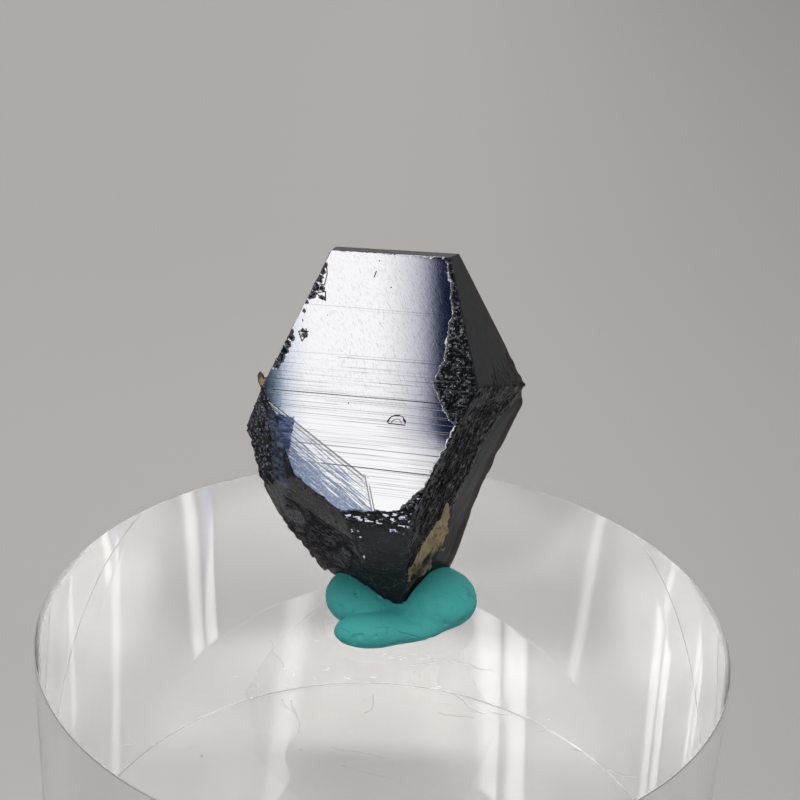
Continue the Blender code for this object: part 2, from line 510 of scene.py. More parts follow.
def hull_grid(rows, columns):
    """Directions on rings about the crystal's level axis. Each row is a half turn from the left pole to the
    right one, and rows and columns are spread by the spacing that is wanted."""
    left_right = CRYSTAL_TURN[:, 0]
    outward = -CRYSTAL_TURN[:, 1]
    upward = CRYSTAL_TURN[:, 2]

    def spread(directions, kind, shares):
        """Places along a line of directions that leave equal counts of wanted steps behind them."""
        points = directions / HULL.slopes(directions).max(axis=-1)[:, None]
        steps = np.linalg.norm(np.diff(points, axis=0), axis=1)
        wanted = wanted_spacing(directions, kind)
        count = np.concatenate([[0.0], np.cumsum(steps * 2 / (wanted[1:] + wanted[:-1]))])
        return np.interp(shares * count[-1], count, np.arange(len(directions)))

    def ring(angles):
        return np.cos(angles)[..., None] * outward + np.sin(angles)[..., None] * upward

    fine = np.linspace(-math.pi, math.pi, RING_STEPS)
    row_angles = np.interp(spread(ring(fine), 0, np.arange(rows) / rows), np.arange(len(fine)), fine)
    tilt = np.linspace(-math.pi / 2, math.pi / 2, ARC_STEPS)
    directions = np.empty((rows, columns, 3))
    for row, angle in enumerate(row_angles):
        arc = np.cos(tilt)[:, None] * ring(angle) + np.sin(tilt)[:, None] * left_right
        kept = np.interp(spread(arc, 1, np.linspace(0, 1, columns + 2)[1:-1]), np.arange(len(tilt)), tilt)
        directions[row] = np.cos(kept)[:, None] * ring(angle) + np.sin(kept)[:, None] * left_right
    return directions


def snap_to_edges(directions):
    """Moves points onto the hull's edges. Where the two ends of a grid line lie on different faces, the end
    nearer to the edge between them slides along the line onto it. Returns which points lie on an edge too."""
    slopes = HULL.slopes(directions)
    labels = slopes.argmax(axis=-1)
    best = np.full(labels.shape, 0.5)
    moved = directions.copy()

    def lead(values, first, second):
        """By how much the first face's slope leads the second's."""
        one = np.take_along_axis(values, first[..., None], -1)
        return (one - np.take_along_axis(values, second[..., None], -1))[..., 0]

    for axis, step in ((0, 1), (0, -1), (1, 1), (1, -1)):
        other = np.roll(directions, -step, axis=axis)
        other_labels = np.roll(labels, -step, axis=axis)
        across = labels != other_labels
        if axis == 1:
            across[:, -1 if step == 1 else 0] = False
        here = lead(slopes, labels, other_labels)
        there = lead(np.roll(slopes, -step, axis=axis), labels, other_labels)
        part = here / np.where(across, here - there, 1.0)
        closer = across & (part < best)
        best = np.where(closer, part, best)
        moved = np.where(closer[..., None], directions + part[..., None] * (other - directions), moved)
    return moved, best < 0.5


# The crystal's relief. Depths are in millimetres below a face's flat, and places on a face are millimetres to
# the right and down from the foot of its distance.

# The facet at the bright face's lower left, turned against it by a tenth of a degree: its upper right border,
# then the short one that closes it on the right, its fall, and where it is shallower on its left.
FACET_BORDER = ((-5.91, 1.37), (0.50, 5.16))
FACET_END = ((0.50, 5.16), (1.16, 6.97))
FACET_SLOPE = 0.0015
FACET_LEFT = -5.35
# Where the pitted ground begins along the bright face's right side, and where it ends on the left: (down,
# right).
PITTED_RIGHT = [
    (-10.8, 4.45), (-9.8, 4.90), (-8.2, 5.25), (-6.9, 5.55), (-5.3, 5.45), (-3.4, 5.40), (-2.4, 5.00),
    (-1.5, 4.90), (-0.3, 5.70), (0.6, 6.2), (1.4, 7.5), (5.4, 5.15), (6.26, 4.38), (7.13, 3.52), (7.4, 2.4),
    (7.7, 1.5),
]
PITTED_LEFT = [
    (-1.0, -9.2), (-0.4, -8.5), (0.7, -7.4), (1.6, -6.9), (3.4, -6.3), (4.2, -5.6), (5.4, -4.8),
]
# Over what width the ground drops there, and the bright face's lower right edge, which is worn.
PIT_STEP = (-0.03, 0.12)
HEM_LINE = ((4.26, 7.29), (7.70, -1.63))
# Pits and chips on the bright face: right, down, radius and depth, and the share of that which shows.
CHIPS = [
    (-4.86, -9.75, 0.28, 0.13), (-4.95, -9.3, 0.36, 0.16), (-5.10, -8.7, 0.42, 0.20),
    (-5.28, -8.1, 0.46, 0.22), (-5.50, -7.55, 0.42, 0.18), (-4.85, -8.0, 0.26, 0.12),
    (-4.72, -7.35, 0.20, 0.10), (-6.70, -4.75, 0.26, 0.14), (-6.62, -4.35, 0.30, 0.16),
    (-6.90, -3.85, 0.45, 0.22), (-6.98, -3.30, 0.40, 0.20), (-7.25, -2.85, 0.50, 0.25),
    (-7.50, -2.30, 0.42, 0.20), (-5.76, -4.85, 0.14, 0.10), (-5.72, -4.55, 0.18, 0.12),
    (0.12, -10.78, 0.16, 0.10), (-2.05, -10.86, 0.10, 0.06),
]
CHIP_SHARE = 0.6
# Small ledges below the bright face that are parallel to it: the ledge's outer edge at its left end, how fast
# that falls to the right, the ledge's width, and its ends.
LEDGES = [
    (0.52, 0.19, 0.22, -1.60, 0.35), (0.90, 0.15, 0.14, 0.42, 1.00), (0.80, 0.19, 0.10, -0.75, 1.20),
    (0.76, 0.05, 0.09, -1.50, -1.10), (0.27, 0.10, 0.20, 1.35, 1.85), (0.66, 0.12, 0.20, 1.75, 2.20),
    (0.17, 0.05, 0.18, 2.05, 2.50), (0.42, 0.10, 0.20, 2.55, 3.05), (0.72, 0.12, 0.20, 3.05, 3.50),
    (1.20, 0.12, 0.17, 2.30, 2.85), (1.35, 0.10, 0.16, 2.88, 3.30), (1.81, 0.02, 0.17, 1.60, 2.15),
    (2.00, 0.05, 0.13, 2.12, 2.50), (2.04, 0.03, 0.06, -1.55, -0.50), (2.72, 0.0, 0.20, -0.92, -0.68),
]
# A ledge that falls to the right is a row of pieces at most this long, whose outer edges lie this far below
# the face's flat.
LEDGE_PIECE = 0.7
LEDGE_LOW = 0.03
# Ground below the bright face is as bright as it where the two are parallel to within this many degrees.
LEDGE_TURN = 9.0
# How far the right side's outline lies inside the hull's, or outside it where less than 0: (down the lower
# right face, inset). Both of the faces that meet there are lowered by it.
RIGHT_OUTLINE = [
    (-3.9, -0.12), (-2.25, -0.10), (-1.5, 0.0), (0.9, 0.0), (1.6, 0.11), (2.4, 0.0), (3.2, 0.02),
    (3.9, 0.07), (4.7, -0.04), (5.5, -0.04), (6.25, -0.13), (7.0, -0.22), (7.8, -0.32), (8.6, -0.41),
    (11.5, -0.41),
]
# The edge where they meet, on the lower right face and on the face behind it, and then the lower right face's
# edge with the bright face.
RIGHT_BORDER = ((7.05, -1.56), (1.78, 11.69))
BACK_BORDER = ((-6.99, -1.75), (-2.10, 11.64))
BRIGHT_BORDER = ((-3.03, -6.30), (-7.23, 2.26))
# The ridge that parts the fibrous band from the satin stripe on the lower right face: (down, right).
RIDGE = [
    (-4.1, 6.8), (-2.6, 5.6), (-2.0, 3.9), (-1.3, 3.1), (-0.2, 2.5), (1.4, 2.3), (2.3, 1.55), (2.8, 1.25),
    (4.0, 1.05), (5.4, 0.6), (7.0, -0.6), (9.0, -2.6), (12.0, -3.4),
]
# How far the splinters on that face lean, in degrees.
SPLINTER_TURN = 29.0
# The edge across the broken ground below the left notch, between its calm and its rough part.
BREAK_RIDGE = ((-2.8, 1.59), (4.79, 4.49))
# The hollow that the tan rock fills: centre, half sizes and turn.
HOLLOW = ((-0.9, 7.4), (1.75, 3.6), 14.0)


def across_line(x, y, start, end):
    """Distance from the line through two places, positive on the side that is left of it as y runs down."""
    along = unit(np.subtract(end, start))
    return (y - start[1]) * along[0] - (x - start[0]) * along[1]


def bright_relief(x, y, spots):
    """One facet at a very slight angle, and pitted ground along both sides."""
    tilted = np.minimum(across_line(x, y, *FACET_BORDER), across_line(x, y, *FACET_END) * 1.6)
    fade = smooth_step(FACET_LEFT - 1.6, FACET_LEFT, x)
    depth = FACET_SLOPE * np.clip(tilted, 0, 3.2) * (0.6 + 0.4 * fade)
    ragged = 0.16 * rough_noise(spots, 0.7, 11)
    right = smooth_step(*PIT_STEP, x - np.interp(y, *zip(*PITTED_RIGHT)) + ragged)
    left = smooth_step(*PIT_STEP, np.interp(y, *zip(*PITTED_LEFT)) - x + ragged)
    left *= smooth_step(-1.3, -0.7, y)
    broken = 0.07 + 0.05 * flakes(spots, 0.30, 21) + 0.03 * flakes(spots, 0.14, 31)
    depth += right * broken + left * (0.12 + 1.6 * broken)
    hem = smooth_step(0.16, 0.0, ragged - across_line(x, y, *HEM_LINE))
    depth += hem * (0.05 + 0.05 * flakes(spots, 0.25, 41))
    return depth


def ledge_relief(x, y, spots):
    """Ledges parallel to the bright face: each is a ramp that climbs to the face's flat at its outer edge,
    with a steep cut behind it. Below them the ground is broken into low facets, with one flat facet. Along
    the ray to a point p on this face's flat at a distance d, a plane with the bright face's direction n
    through a point q lies d (1 - n.q / n.p) below the flat."""
    toward = HULL.normals[HULL.index(BRIGHT_FACE)] @ HULL.turn("lower_front")
    away = HULL.distances[HULL.index("lower_front")] / MM

    def reach(right, down):
        return toward[0] * right + toward[1] * down - toward[2] * away

    low = 0.05 + 0.05 * flakes(spots, 0.7, 51) + 0.025 * flakes(spots, 0.25, 52)
    flat = smooth_step(0.3, 0.0, np.maximum(np.abs(x - 1.2) - 1.35, np.abs(y - 2.9) - 1.0))
    depth = low * (1 - 0.8 * flat)
    depth += 0.10 * np.exp(-((x - 0.2) / 0.06) ** 2) * smooth_step(5.0, 5.6, y)
    for edge, fall, width, left, right in LEDGES:
        piece = min(LEDGE_PIECE, right - left)
        middle = left + piece * (np.floor((x - left) / piece) + 0.5)
        outer = edge + fall * (middle - left)
        within = (x > left) & (x < right)
        inside = within & (y < outer) & (y > outer - width)
        plane = away - (away - LEDGE_LOW) * reach(middle, outer) / reach(x, y)
        cut = within & (y <= outer - width) & (y > outer - width - 0.06)
        depth = np.where(inside, plane, np.where(cut, plane + 0.05, depth))
    return depth


def fibrous_relief(x, y, spots):
    """Long splinters that run down the face, a ridge, a smooth stripe beyond it that falls to the outline,
    and the hollow of the tan rock."""
    turn = math.radians(SPLINTER_TURN)
    along = -math.sin(turn) * x + math.cos(turn) * y
    over = math.cos(turn) * x + math.sin(turn) * y
    bent = over + 0.25 * noise(np.stack([along, over, over * 0], -1), (3.0, 2.0, 1.0), 61)
    grain = np.stack([bent, along, bent * 0], -1)
    splinters = rough_noise(grain, (0.45, 2.8, 1.0), 62) + 0.5 * rough_noise(grain, (0.16, 1.1, 1.0), 66)
    crumbs = flakes(spots, 0.42, 71)
    edge = np.interp(y, *zip(*RIDGE)) + 0.15 * noise(spots, 0.8, 72)
    beyond = smooth_step(0.0, 0.30, x - edge)
    band = 0.26 + 0.13 * splinters + 0.06 * crumbs
    band += 0.10 * smooth_step(1.6, 0.2, edge - x) - 0.16 * smooth_step(0.45, 0.0, np.abs(edge - x - 0.1))
    satin = 0.16 + 0.03 * rough_noise(grain, (0.6, 4.0, 1.0), 75) + 0.10 * smooth_step(2.0, 0.3, x - edge)
    rim = smooth_step(-4.9, -3.6, y)
    depth = band * (1 - beyond) + satin * beyond
    (cx, cy), (rx, ry), lean = HOLLOW
    turn = math.radians(lean)
    hx = math.cos(turn) * (x - cx) + math.sin(turn) * (y - cy)
    hy = -math.sin(turn) * (x - cx) + math.cos(turn) * (y - cy)
    depth += 0.24 * smooth_step(1.15, 0.75, np.hypot(hx / rx, hy / ry))
    depth *= 0.25 + 0.75 * rim
    depth += 0.05 * flakes(spots, 0.5, 76) * smooth_step(-2.5, -4.5, y)
    inside = across_line(x, y, *RIGHT_BORDER)
    inset = np.interp(y, *zip(*RIGHT_OUTLINE))
    depth = depth * smooth_step(0.0, 0.8, inside) * smooth_step(-0.1, 1.3, -across_line(x, y, *BRIGHT_BORDER))
    return depth + inset * smooth_step(2.5, 0.2, inside)


def broken_relief(x, y, spots, seed, coarse, fine):
    """Low facets of two sizes with faint ripples between them."""
    ripple = np.sin(4.2 * (x + y * 0.4) + 2.0 * noise(spots, 2.0, seed + 9)) * 0.012
    return coarse * flakes(spots, 1.5, seed) + fine * flakes(spots, 0.36, seed + 3) + ripple


def crystal_relief(name, points):
    """How deep each point of a face lies below its flat, in millimetres."""
    x, y = HULL.places(name, points)
    spots = points / MM
    if name == BRIGHT_FACE:
        return bright_relief(x, y, spots)
    if name == "lower_front":
        return ledge_relief(x, y, spots)
    if name == "lower_right":
        return fibrous_relief(x, y, spots)
    if name in ("right_back_break", "lower_back"):
        _, side_down = HULL.places("lower_right", points)
        inset = np.interp(side_down, *zip(*RIGHT_OUTLINE))
        if name == "lower_back":
            inset *= smooth_step(4.0, 0.5, -across_line(x, y, *BACK_BORDER))
        return inset + 0.03 * noise(spots, 1.2, 86) + broken_relief(x, y, spots, 81, 0.04, 0.02)
    if name == "left_shoulder":
        return -0.18 + 0.12 * flakes(spots, 0.45, 91) + 0.05 * flakes(spots, 0.2, 92)
    if name == "left_notch":
        smooth = smooth_step(-7.0, -5.6, x) * smooth_step(-1.2, -2.2, x)
        return 0.03 + broken_relief(x, y, spots, 101, 0.06, 0.03) * (1 - 0.8 * smooth) - 0.20
    if name == "left_break":
        ridge = across_line(x, y, *BREAK_RIDGE)
        calm = smooth_step(0.3, -0.3, ridge)
        step = 0.16 * smooth_step(-0.15, 0.25, ridge)
        rough = broken_relief(x, y, spots, 111, 0.12, 0.05)
        bulge = 0.24 * smooth_step(-2.0, -5.0, x)
        return step + rough * (1 - 0.85 * calm) - bulge - 0.02
    if name in ("left_under", "foot"):
        return broken_relief(x, y, spots, 121, 0.10, 0.05) - 0.05
    if name == "upper_right":
        worn = smooth_step(-1.6, 0.4, y + 0.25 * x)
        return 0.004 * rough_noise(spots, 1.2, 131) + worn * (0.03 + 0.04 * flakes(spots, 0.35, 132))
    if name == "tip":
        return 0.01 + 0.008 * rough_noise(spots, 0.6, 141)
    stairs = np.abs((y * 0.9 + 0.06 * noise(spots, 2.5, 151)) % 1.0 - 0.5)
    return -0.04 + 0.05 * stairs + 0.02 * flakes(spots, 0.9, 152)


# Bites along the edges of the faces that are seen: a face, two places on it, how many bites lie between them,
# and the largest one's radius.
NICKED_EDGES = [
    ("upper_front", (-5.2, -8.3), (-8.25, -0.71), 9, 0.16),
    ("upper_front", (4.40, -10.70), (7.70, -1.63), 26, 0.34),
    ("upper_front", (7.70, -1.63), (4.26, 7.29), 34, 0.26),
    ("upper_front", (4.26, 7.29), (-0.88, 7.64), 14, 0.22),
    ("left_break", (3.22, 0.55), (-0.57, -1.67), 5, 0.22),
    ("left_notch", (0.4, -0.69), (-6.50, 1.77), 12, 0.40),
    ("lower_front", (3.64, -0.22), (1.33, 10.27), 20, 0.45),
    ("lower_front", (-1.48, 0.11), (-0.44, 9.94), 10, 0.35),
    ("lower_right", (6.95, -1.2), (1.78, 11.69), 16, 0.34),
    ("upper_right", (4.5, 1.2), (-4.35, -0.83), 18, 0.45),
    ("left_break", (-6.28, 4.79), (1.35, 10.28), 18, 0.50),
    ("lower_right", (0.0, -5.5), (4.6, -3.0), 12, 0.40),
]


def edge_nicks():
    """Small bites along the edges, from numbers in a fixed order: centre from the crystal's, and radius."""
    generator = np.random.default_rng(8)
    bites = []
    for face, start, end, count, largest in NICKED_EDGES:
        for share, jitter, size, high in generator.random((count, 4)):
            place = np.array(start) + (np.array(end) - start) * share
            radius = 0.10 + (largest - 0.10) * size ** 2
            centre = HULL.spot(face, *(place + (jitter - 0.5) * 0.3), out=radius * (0.55 + 0.35 * high))
            bites.append((centre, radius * MM))
    return bites


def face_chips():
    """Round bites out of the bright face: a ball whose cap of the given radius and depth lies below the
    flat."""
    for right, down, radius, deep in np.array(CHIPS) * (1, 1, CHIP_SHARE, CHIP_SHARE):
        ball = (radius ** 2 + deep ** 2) / (2 * deep)
        yield HULL.spot(BRIGHT_FACE, right, down, out=ball - deep), ball * MM


def scoop(directions, reach, centre, radius, seed):
    """Cuts a ball out of the crystal: along each direction u the surface is no further than where it enters
    the ball, b - sqrt(b^2 - c^2 + r^2) with b = u.c. Small facets make the ball's wall uneven."""
    towards = directions @ centre
    inner = towards ** 2 - centre @ centre + radius ** 2
    met = np.flatnonzero((inner > 0) & (towards > 0))
    entry = towards[met] - np.sqrt(inner[met])
    rough = flakes(directions[met] * np.linalg.norm(centre) / MM, 0.22, seed) * 0.12 * radius
    reach[met] = np.minimum(reach[met], np.maximum(entry, reach[met] - 0.6 * MM) + np.abs(rough))


def crystal_points(directions):
    """The hull's surface in each direction, then each face lowered by its own relief at that point: the
    nearest lowered face is the surface. Chips and nicks are cut from that."""
    slopes = HULL.slopes(directions)
    steepest = slopes.max(axis=-1)
    base = directions / steepest[:, None]
    reach = np.full(len(directions), np.inf)
    for i, name in enumerate(HULL.names):
        near = np.flatnonzero(slopes[:, i] > 0.9 * steepest)
        depth = crystal_relief(name, base[near])
        length = (HULL.distances[i] - depth * MM) / (directions[near] @ HULL.normals[i])
        reach[near] = np.minimum(reach[near], length)
    for seed, (centre, radius) in enumerate([*face_chips(), *edge_nicks()]):
        scoop(directions, reach, centre, radius, 200 + seed)
    return directions * reach[:, None]


def crystal_mesh(name, finishes, finish_of):
    rows, columns = GRID_ROWS, GRID_COLUMNS
    directions, on_edge = snap_to_edges(hull_grid(rows, columns))
    poles = np.stack([-CRYSTAL_TURN[:, 0], CRYSTAL_TURN[:, 0]])
    points = crystal_points(unit(np.concatenate([directions.reshape(-1, 3), poles])))
    edge = on_edge.ravel()

    def turned(a, b, c, d):
        """Whether a cell's diagonal joins its second and fourth corners, which keeps it on an edge."""
        return ~(edge[a] & edge[c]) | (edge[b] & edge[d])

    ring = np.arange(rows) * columns
    triangles = np.concatenate([
        grid_triangles(rows, columns, closed_rows=True, turned=turned),
        fan(rows * columns, ring), fan(rows * columns + 1, ring[::-1] + columns - 1)])
    corners = points[triangles]
    labels = HULL.slopes(corners.mean(axis=1)).argmax(axis=1)
    slots = np.array([finish_of(face) for face in HULL.names])[labels]
    facing = unit(np.cross(corners[:, 1] - corners[:, 0], corners[:, 2] - corners[:, 0]))
    level = facing @ HULL.normals[HULL.index(BRIGHT_FACE)] > math.cos(math.radians(LEDGE_TURN))
    slots = np.where(level & (labels == HULL.index("lower_front")), len(finishes) - 1, slots)
    return build(name, points + CRYSTAL_CENTRE, triangles, finishes, slots, sharp=24)


# Finishes of the crystal. On a face, x runs right, y down and z into the crystal, in millimetres.

def hairlines(f, vector, scale, width, share):
    """Short thin bent lines: where one noise passes its middle value, kept only where another is high."""
    near = f.size(f.cloud(vector, scale, 1.0) - 0.5)
    return f.ramp(near, width, width * 0.3) * f.ramp(f.cloud(vector, scale * 1.7, 0.0), share, share + 0.04)


def arc_line(f, x, y, centre, sizes, width):
    """A thin line along an ellipse."""
    ring = f.length((x - centre[0]) / sizes[0], (y - centre[1]) / sizes[1])
    return f.around(ring - 1.0, width, width * 0.3)


def lines_near(f, flat, lines, width):
    """Thin lines from start to end: a point's distance from one is that from the nearest point between its
    ends."""
    drawn = 0.0
    for start, end in lines:
        start = np.array((*start, 0.0))
        along = np.array((*end, 0.0)) - start
        away = f.vector("SUBTRACT", flat, tuple(start))
        share = f.smallest(f.largest(f.dot(away, tuple(along / (along @ along))), 0.0), 1.0)
        nearest = f.scaled(tuple(along), share)
        drawn = f.largest(f.ramp(f.vector("DISTANCE", away, nearest, out="Value"), width, width * 0.3), drawn)
    return drawn


# Lines across the bright face: level at its middle, slope, half width, darkness, and where they begin and
# end.
LEVEL_LINES = [
    (-6.70, 0.029, 0.035, 0.30, -6.1, 5.2), (-6.52, 0.029, 0.025, 0.20, -1.5, 5.2),
    (-3.30, 0.009, 0.03, 0.30, -6.6, 6.2), (-3.12, 0.009, 0.04, 0.45, -2.5, 6.2),
    (-1.22, 0.012, 0.03, 0.30, -8.4, -3.5), (-0.44, 0.011, 0.05, 0.80, -8.4, 5.0),
    (-0.22, 0.012, 0.03, 0.45, -7.5, 2.5), (0.05, 0.013, 0.03, 0.45, -3.0, 6.6),
    (0.55, 0.015, 0.03, 0.40, -7.5, 6.5), (1.05, 0.014, 0.03, 0.35, -5.5, 6.4),
    (1.52, 0.016, 0.03, 0.45, 1.0, 6.3), (2.62, 0.018, 0.03, 0.30, -4.5, 5.8),
    (3.15, 0.018, 0.04, 0.55, -4.7, 5.7), (3.60, 0.018, 0.03, 0.30, -1.5, 5.4),
    (4.46, 0.020, 0.05, 0.90, -2.81, 5.18), (4.46, 0.020, 0.03, 0.60, -5.4, -2.6),
    (5.50, 0.020, 0.03, 0.25, 1.5, 4.6), (6.20, 0.020, 0.03, 0.25, 1.6, 4.3),
]
# The slope of the crowd of thin lines between them, and the turn of the facet's grain in degrees.
LEVEL_SLOPE = 0.015
FACET_GRAIN_TURN = -31.5
# Colours of the bright face: where it is sound, the facet's stripes, which are a painted reflection, the two
# of the shade painted at its lower left, the two that glitter, and pits.
MIRROR = (0.220, 0.219, 0.224)
FACET_PAINTED_REFLECTION = (0.050, 0.063, 0.090)
SHADE_BLUES = ((0.014, 0.018, 0.032), (0.050, 0.060, 0.092))
GLITTER_GREYS = ((0.03, 0.035, 0.05), (0.20, 0.20, 0.22))
PIT_BLACK = (0.006, 0.007, 0.011)
# Small cracks and chips drawn on the bright face, by their ends.
FACE_MARKS = [
    ((-5.21, -7.69), (-4.49, -7.83)), ((-4.49, -7.83), (-4.39, -7.17)), ((-4.39, -7.17), (-5.21, -7.69)),
    ((-4.95, -9.80), (-4.67, -9.63)), ((-4.67, -9.63), (-4.56, -9.11)), ((-4.56, -9.11), (-4.65, -8.30)),
    ((-5.00, -8.36), (-4.65, -8.30)), ((-0.94, -9.05), (-0.84, -9.45)), ((-6.09, -4.85), (-5.36, -4.85)),
    ((-5.57, -5.05), (-5.40, -4.60)), ((-6.10, -4.80), (-5.75, -4.15)), ((-5.75, -4.15), (-5.40, -4.65)),
]


def level_lines(f, x, y):
    """Lines that run nearly level: those that are drawn one by one, a crowd of thin ones at uneven gaps
    over the lower half, and a faint grain there."""
    level = y - x * LEVEL_SLOPE
    crowded = f.between(level, -2.2, 5.6, 0.9)
    wander = f.streaks(x * 0.12, level * 0.8, 1.0)
    gaps = f.node("TexVoronoi", {"feature": "DISTANCE_TO_EDGE", "voronoi_dimensions": "1D"},
                  {"W": level + wander * 0.10, "Scale": 2.8}, "Distance")
    thin = f.ramp(gaps, 0.085, 0.025) * f.ramp(f.streaks(x * 0.16, level * 1.3), 0.40, 0.60) * crowded
    faint = f.ramp(f.streaks(x * 0.05, level * 9.0, 1.0), 0.50, 0.62) * crowded
    drawn = 0.0
    for middle, slope, half, dark, start, end in LEVEL_LINES:
        line = f.around(y - x * slope - middle, half, half * 0.4) * f.between(x, start, end, 0.5)
        drawn = f.largest(line * dark, drawn)
    return drawn, thin, faint


def arched_pit(f, place, x, y):
    """The pit near the middle: an arch, a smaller one inside it, both bent a little, and a foot."""
    bent = f.cloud(place, 3.2, 2.0) - 0.5
    above_foot = f.ramp(y, 1.28, 1.12)
    pit = lines_near(f, f.joined(x, y), [((1.62, 1.26), (2.82, 1.30))], 0.05)
    for middle, sizes, width in (((2.2, 1.22), (0.66, 0.56), 0.09), ((2.2, 1.30), (0.42, 0.36), 0.10)):
        pit = f.largest(pit, arc_line(f, x + bent * 0.30, y - bent * 0.22, middle, sizes, width) * above_foot)
    return pit


def facet_marks(f, place, x, y):
    """The facet at the lower left: where it is, its grain, its blue stripes, which are a painted reflection,
    its scored lines, and the fine seams along its border and beside its end."""
    border = across_line(x, y, *FACET_BORDER)
    ended = across_line(x, y, *FACET_END)
    facet = f.ramp(f.smallest(border, ended), -0.03, 0.05)
    grain = f.grain(place, (2.6, 0.11, 1.0), FACET_GRAIN_TURN, 3.0)
    blue = facet * f.ramp(grain + (border - 1.2) * 0.10, 0.44, 0.56)
    blue = blue * f.ramp(f.cloud(place, 6.0, 2.0), 0.30, 0.56, 0.72, 1.0)
    scored = facet * f.around(f.grain(place, (3.4, 0.14, 1.0), FACET_GRAIN_TURN, 1.0) - 0.5, 0.020, 0.006)
    seam = f.around(border, 0.06, 0.02) * f.ramp(ended, -0.05, 0.1)
    seam = f.largest(seam, f.around(border - 0.24, 0.05, 0.02) * f.ramp(ended, 0.1, 0.3) * 0.7)
    seam = f.largest(seam, f.around(ended - 0.02, 0.05, 0.02) * f.ramp(border, -0.3, 0.1))
    seam = f.largest(seam, f.around(ended + 0.16, 0.05, 0.02) * f.ramp(border, 0.1, 0.4))
    return facet, grain, blue, scored, seam


def bright_finish():
    """The large face: as bright as metal where it is sound, black with glints wherever it is pitted or
    chipped below its flat, crossed by fine level lines, and blue at its lower left, where shade is painted,
    with a painted reflection in blue stripes on the facet there."""
    f = Finish("anatase_bright", IOR=1.15)
    place, x, y, deep = f.on_face(BRIGHT_FACE)
    level = y - x * LEVEL_SLOPE
    drawn, thin, faint = level_lines(f, x, y)
    strokes = f.grain(place, (0.42, 0.095, 1.0), -58.0, 3.0, 0.65, 0.9)
    upper = f.ramp(level, 2.0, -1.5) * f.ramp(x, -7.5, 1.0, 0.55, 1.0)
    facet, grain, blue, scored, seam = facet_marks(f, place, x, y)

    limit = f.curve(y, PITTED_RIGHT, low=-11.0, high=9.0, least=0.0, most=12.0)
    pitted = f.ramp(x - limit + (f.cloud(place, 1.6, 3.0) - 0.5) * 0.7, -0.42, -0.20)
    worn = f.largest(f.ramp(deep + f.ramp(x, 0.5, 2.0) * 0.0045, 0.006, 0.014), pitted)
    chance, tone, _ = f.parts(f.cells(f.stretched(place, (0.17, 0.11, 1.0), 14.0), 1.0, out="Color"))
    bands = f.ramp(f.streaks(x * 0.30, level * 6.0, 1.0), 0.60, 0.68) * f.ramp(y, -3.6, -2.6) * 0.8
    glitter = f.largest(f.ramp(chance, 0.56, 0.64) * f.ramp(f.cloud(place, 2.6), 0.38, 0.54), bands) * worn
    specks = f.ramp(f.cells(place, 1.15), 0.075, 0.045) * f.ramp(f.cloud(place, 1.6), 0.53, 0.58)
    marks = lines_near(f, f.joined(x, y), FACE_MARKS, 0.055)
    dull = f.largest(worn * (1 - glitter), specks, arched_pit(f, place, x, y), marks)

    # Painted shade: a streaked blue-grey zone at the lower left, by the face's left border.
    ragged = f.cloud(place, 2.5, 3.0) - 0.5
    shaded = f.ramp(x + ragged * 0.5, -5.40, -5.55) * f.ramp(y + ragged * 0.9, 1.22, 1.38)
    shade = f.mix(f.ramp(f.streaks(x * 0.8, level * 3.0, 3.0, 0.6), 0.40, 0.60), *SHADE_BLUES)
    darkening = f.largest(drawn, thin * 0.55, seam * 0.6, scored * 0.5) + faint * 0.14
    darkening = darkening + f.ramp(strokes, 0.52, 0.66) * upper * 0.26
    # The facet's blue stripes are a painted reflection, set in the metal's colour and not made by the facet's
    # slight turn.
    sound = f.mix(blue, f.scaled(MIRROR, 1 - f.smallest(darkening, 0.95)), FACET_PAINTED_REFLECTION)
    sound = f.mix(shaded, sound, shade)
    sound = f.mix(glitter, sound, f.mix(tone, *GLITTER_GREYS))
    f.set(Base_Color=f.mix(dull, sound, PIT_BLACK), Metallic=1 - dull,
          Roughness=0.03 + dull * 0.33 + facet * 0.03 + glitter * 0.10)
    height = drawn * -0.0007 + thin * -0.0002 + strokes * upper * 0.00022
    height = height + grain * facet * 0.0006 + f.cloud(place, 2.2, 2.0) * 0.0003
    f.bump(height + worn * (f.cloud(place, 8.0, 2.0) * 0.030 + tone * 0.010) + seam * -0.002)
    return f.material


def ledge_finish():
    """The small ledges below the bright face, as bright as that."""
    f = Finish("anatase_ledges", Metallic=1.0)
    _, x, y, _ = f.on_face(BRIGHT_FACE)
    lines = f.ramp(f.streaks(x * 0.5, y * 5.0, 2.0), 0.40, 0.62)
    f.set(Base_Color=f.mix(lines, (0.16, 0.165, 0.18), (0.22, 0.225, 0.24)), Roughness=lines * 0.06 + 0.06)
    f.bump(lines * 0.0008)
    return f.material


def smooth_finish(name, face, ior):
    """The dark smooth faces: a satin black with a faint level grain, worn at its foot."""
    f = Finish(name, IOR=ior)
    place, x, y, deep = f.on_face(face)
    grain = f.streaks(x * 0.25, y * 3.0, 2.0)
    mottle = f.cloud(place, 1.4, 3.0)
    worn = f.ramp(deep, 0.015, 0.04)
    specks = f.ramp(f.cells(place, 1.6), 0.10, 0.05) * f.ramp(mottle, 0.48, 0.60)
    f.set(Base_Color=f.mix(f.largest(worn * mottle, specks), (0.0075, 0.0075, 0.0100), (0.028, 0.028, 0.032)),
          Roughness=0.26 + mottle * 0.16 + worn * 0.15, Metallic=specks * 0.5)
    f.bump(grain * 0.002 + f.cloud(place, 5.0, 2.0) * (worn * 0.02 + 0.0012))
    return f.material


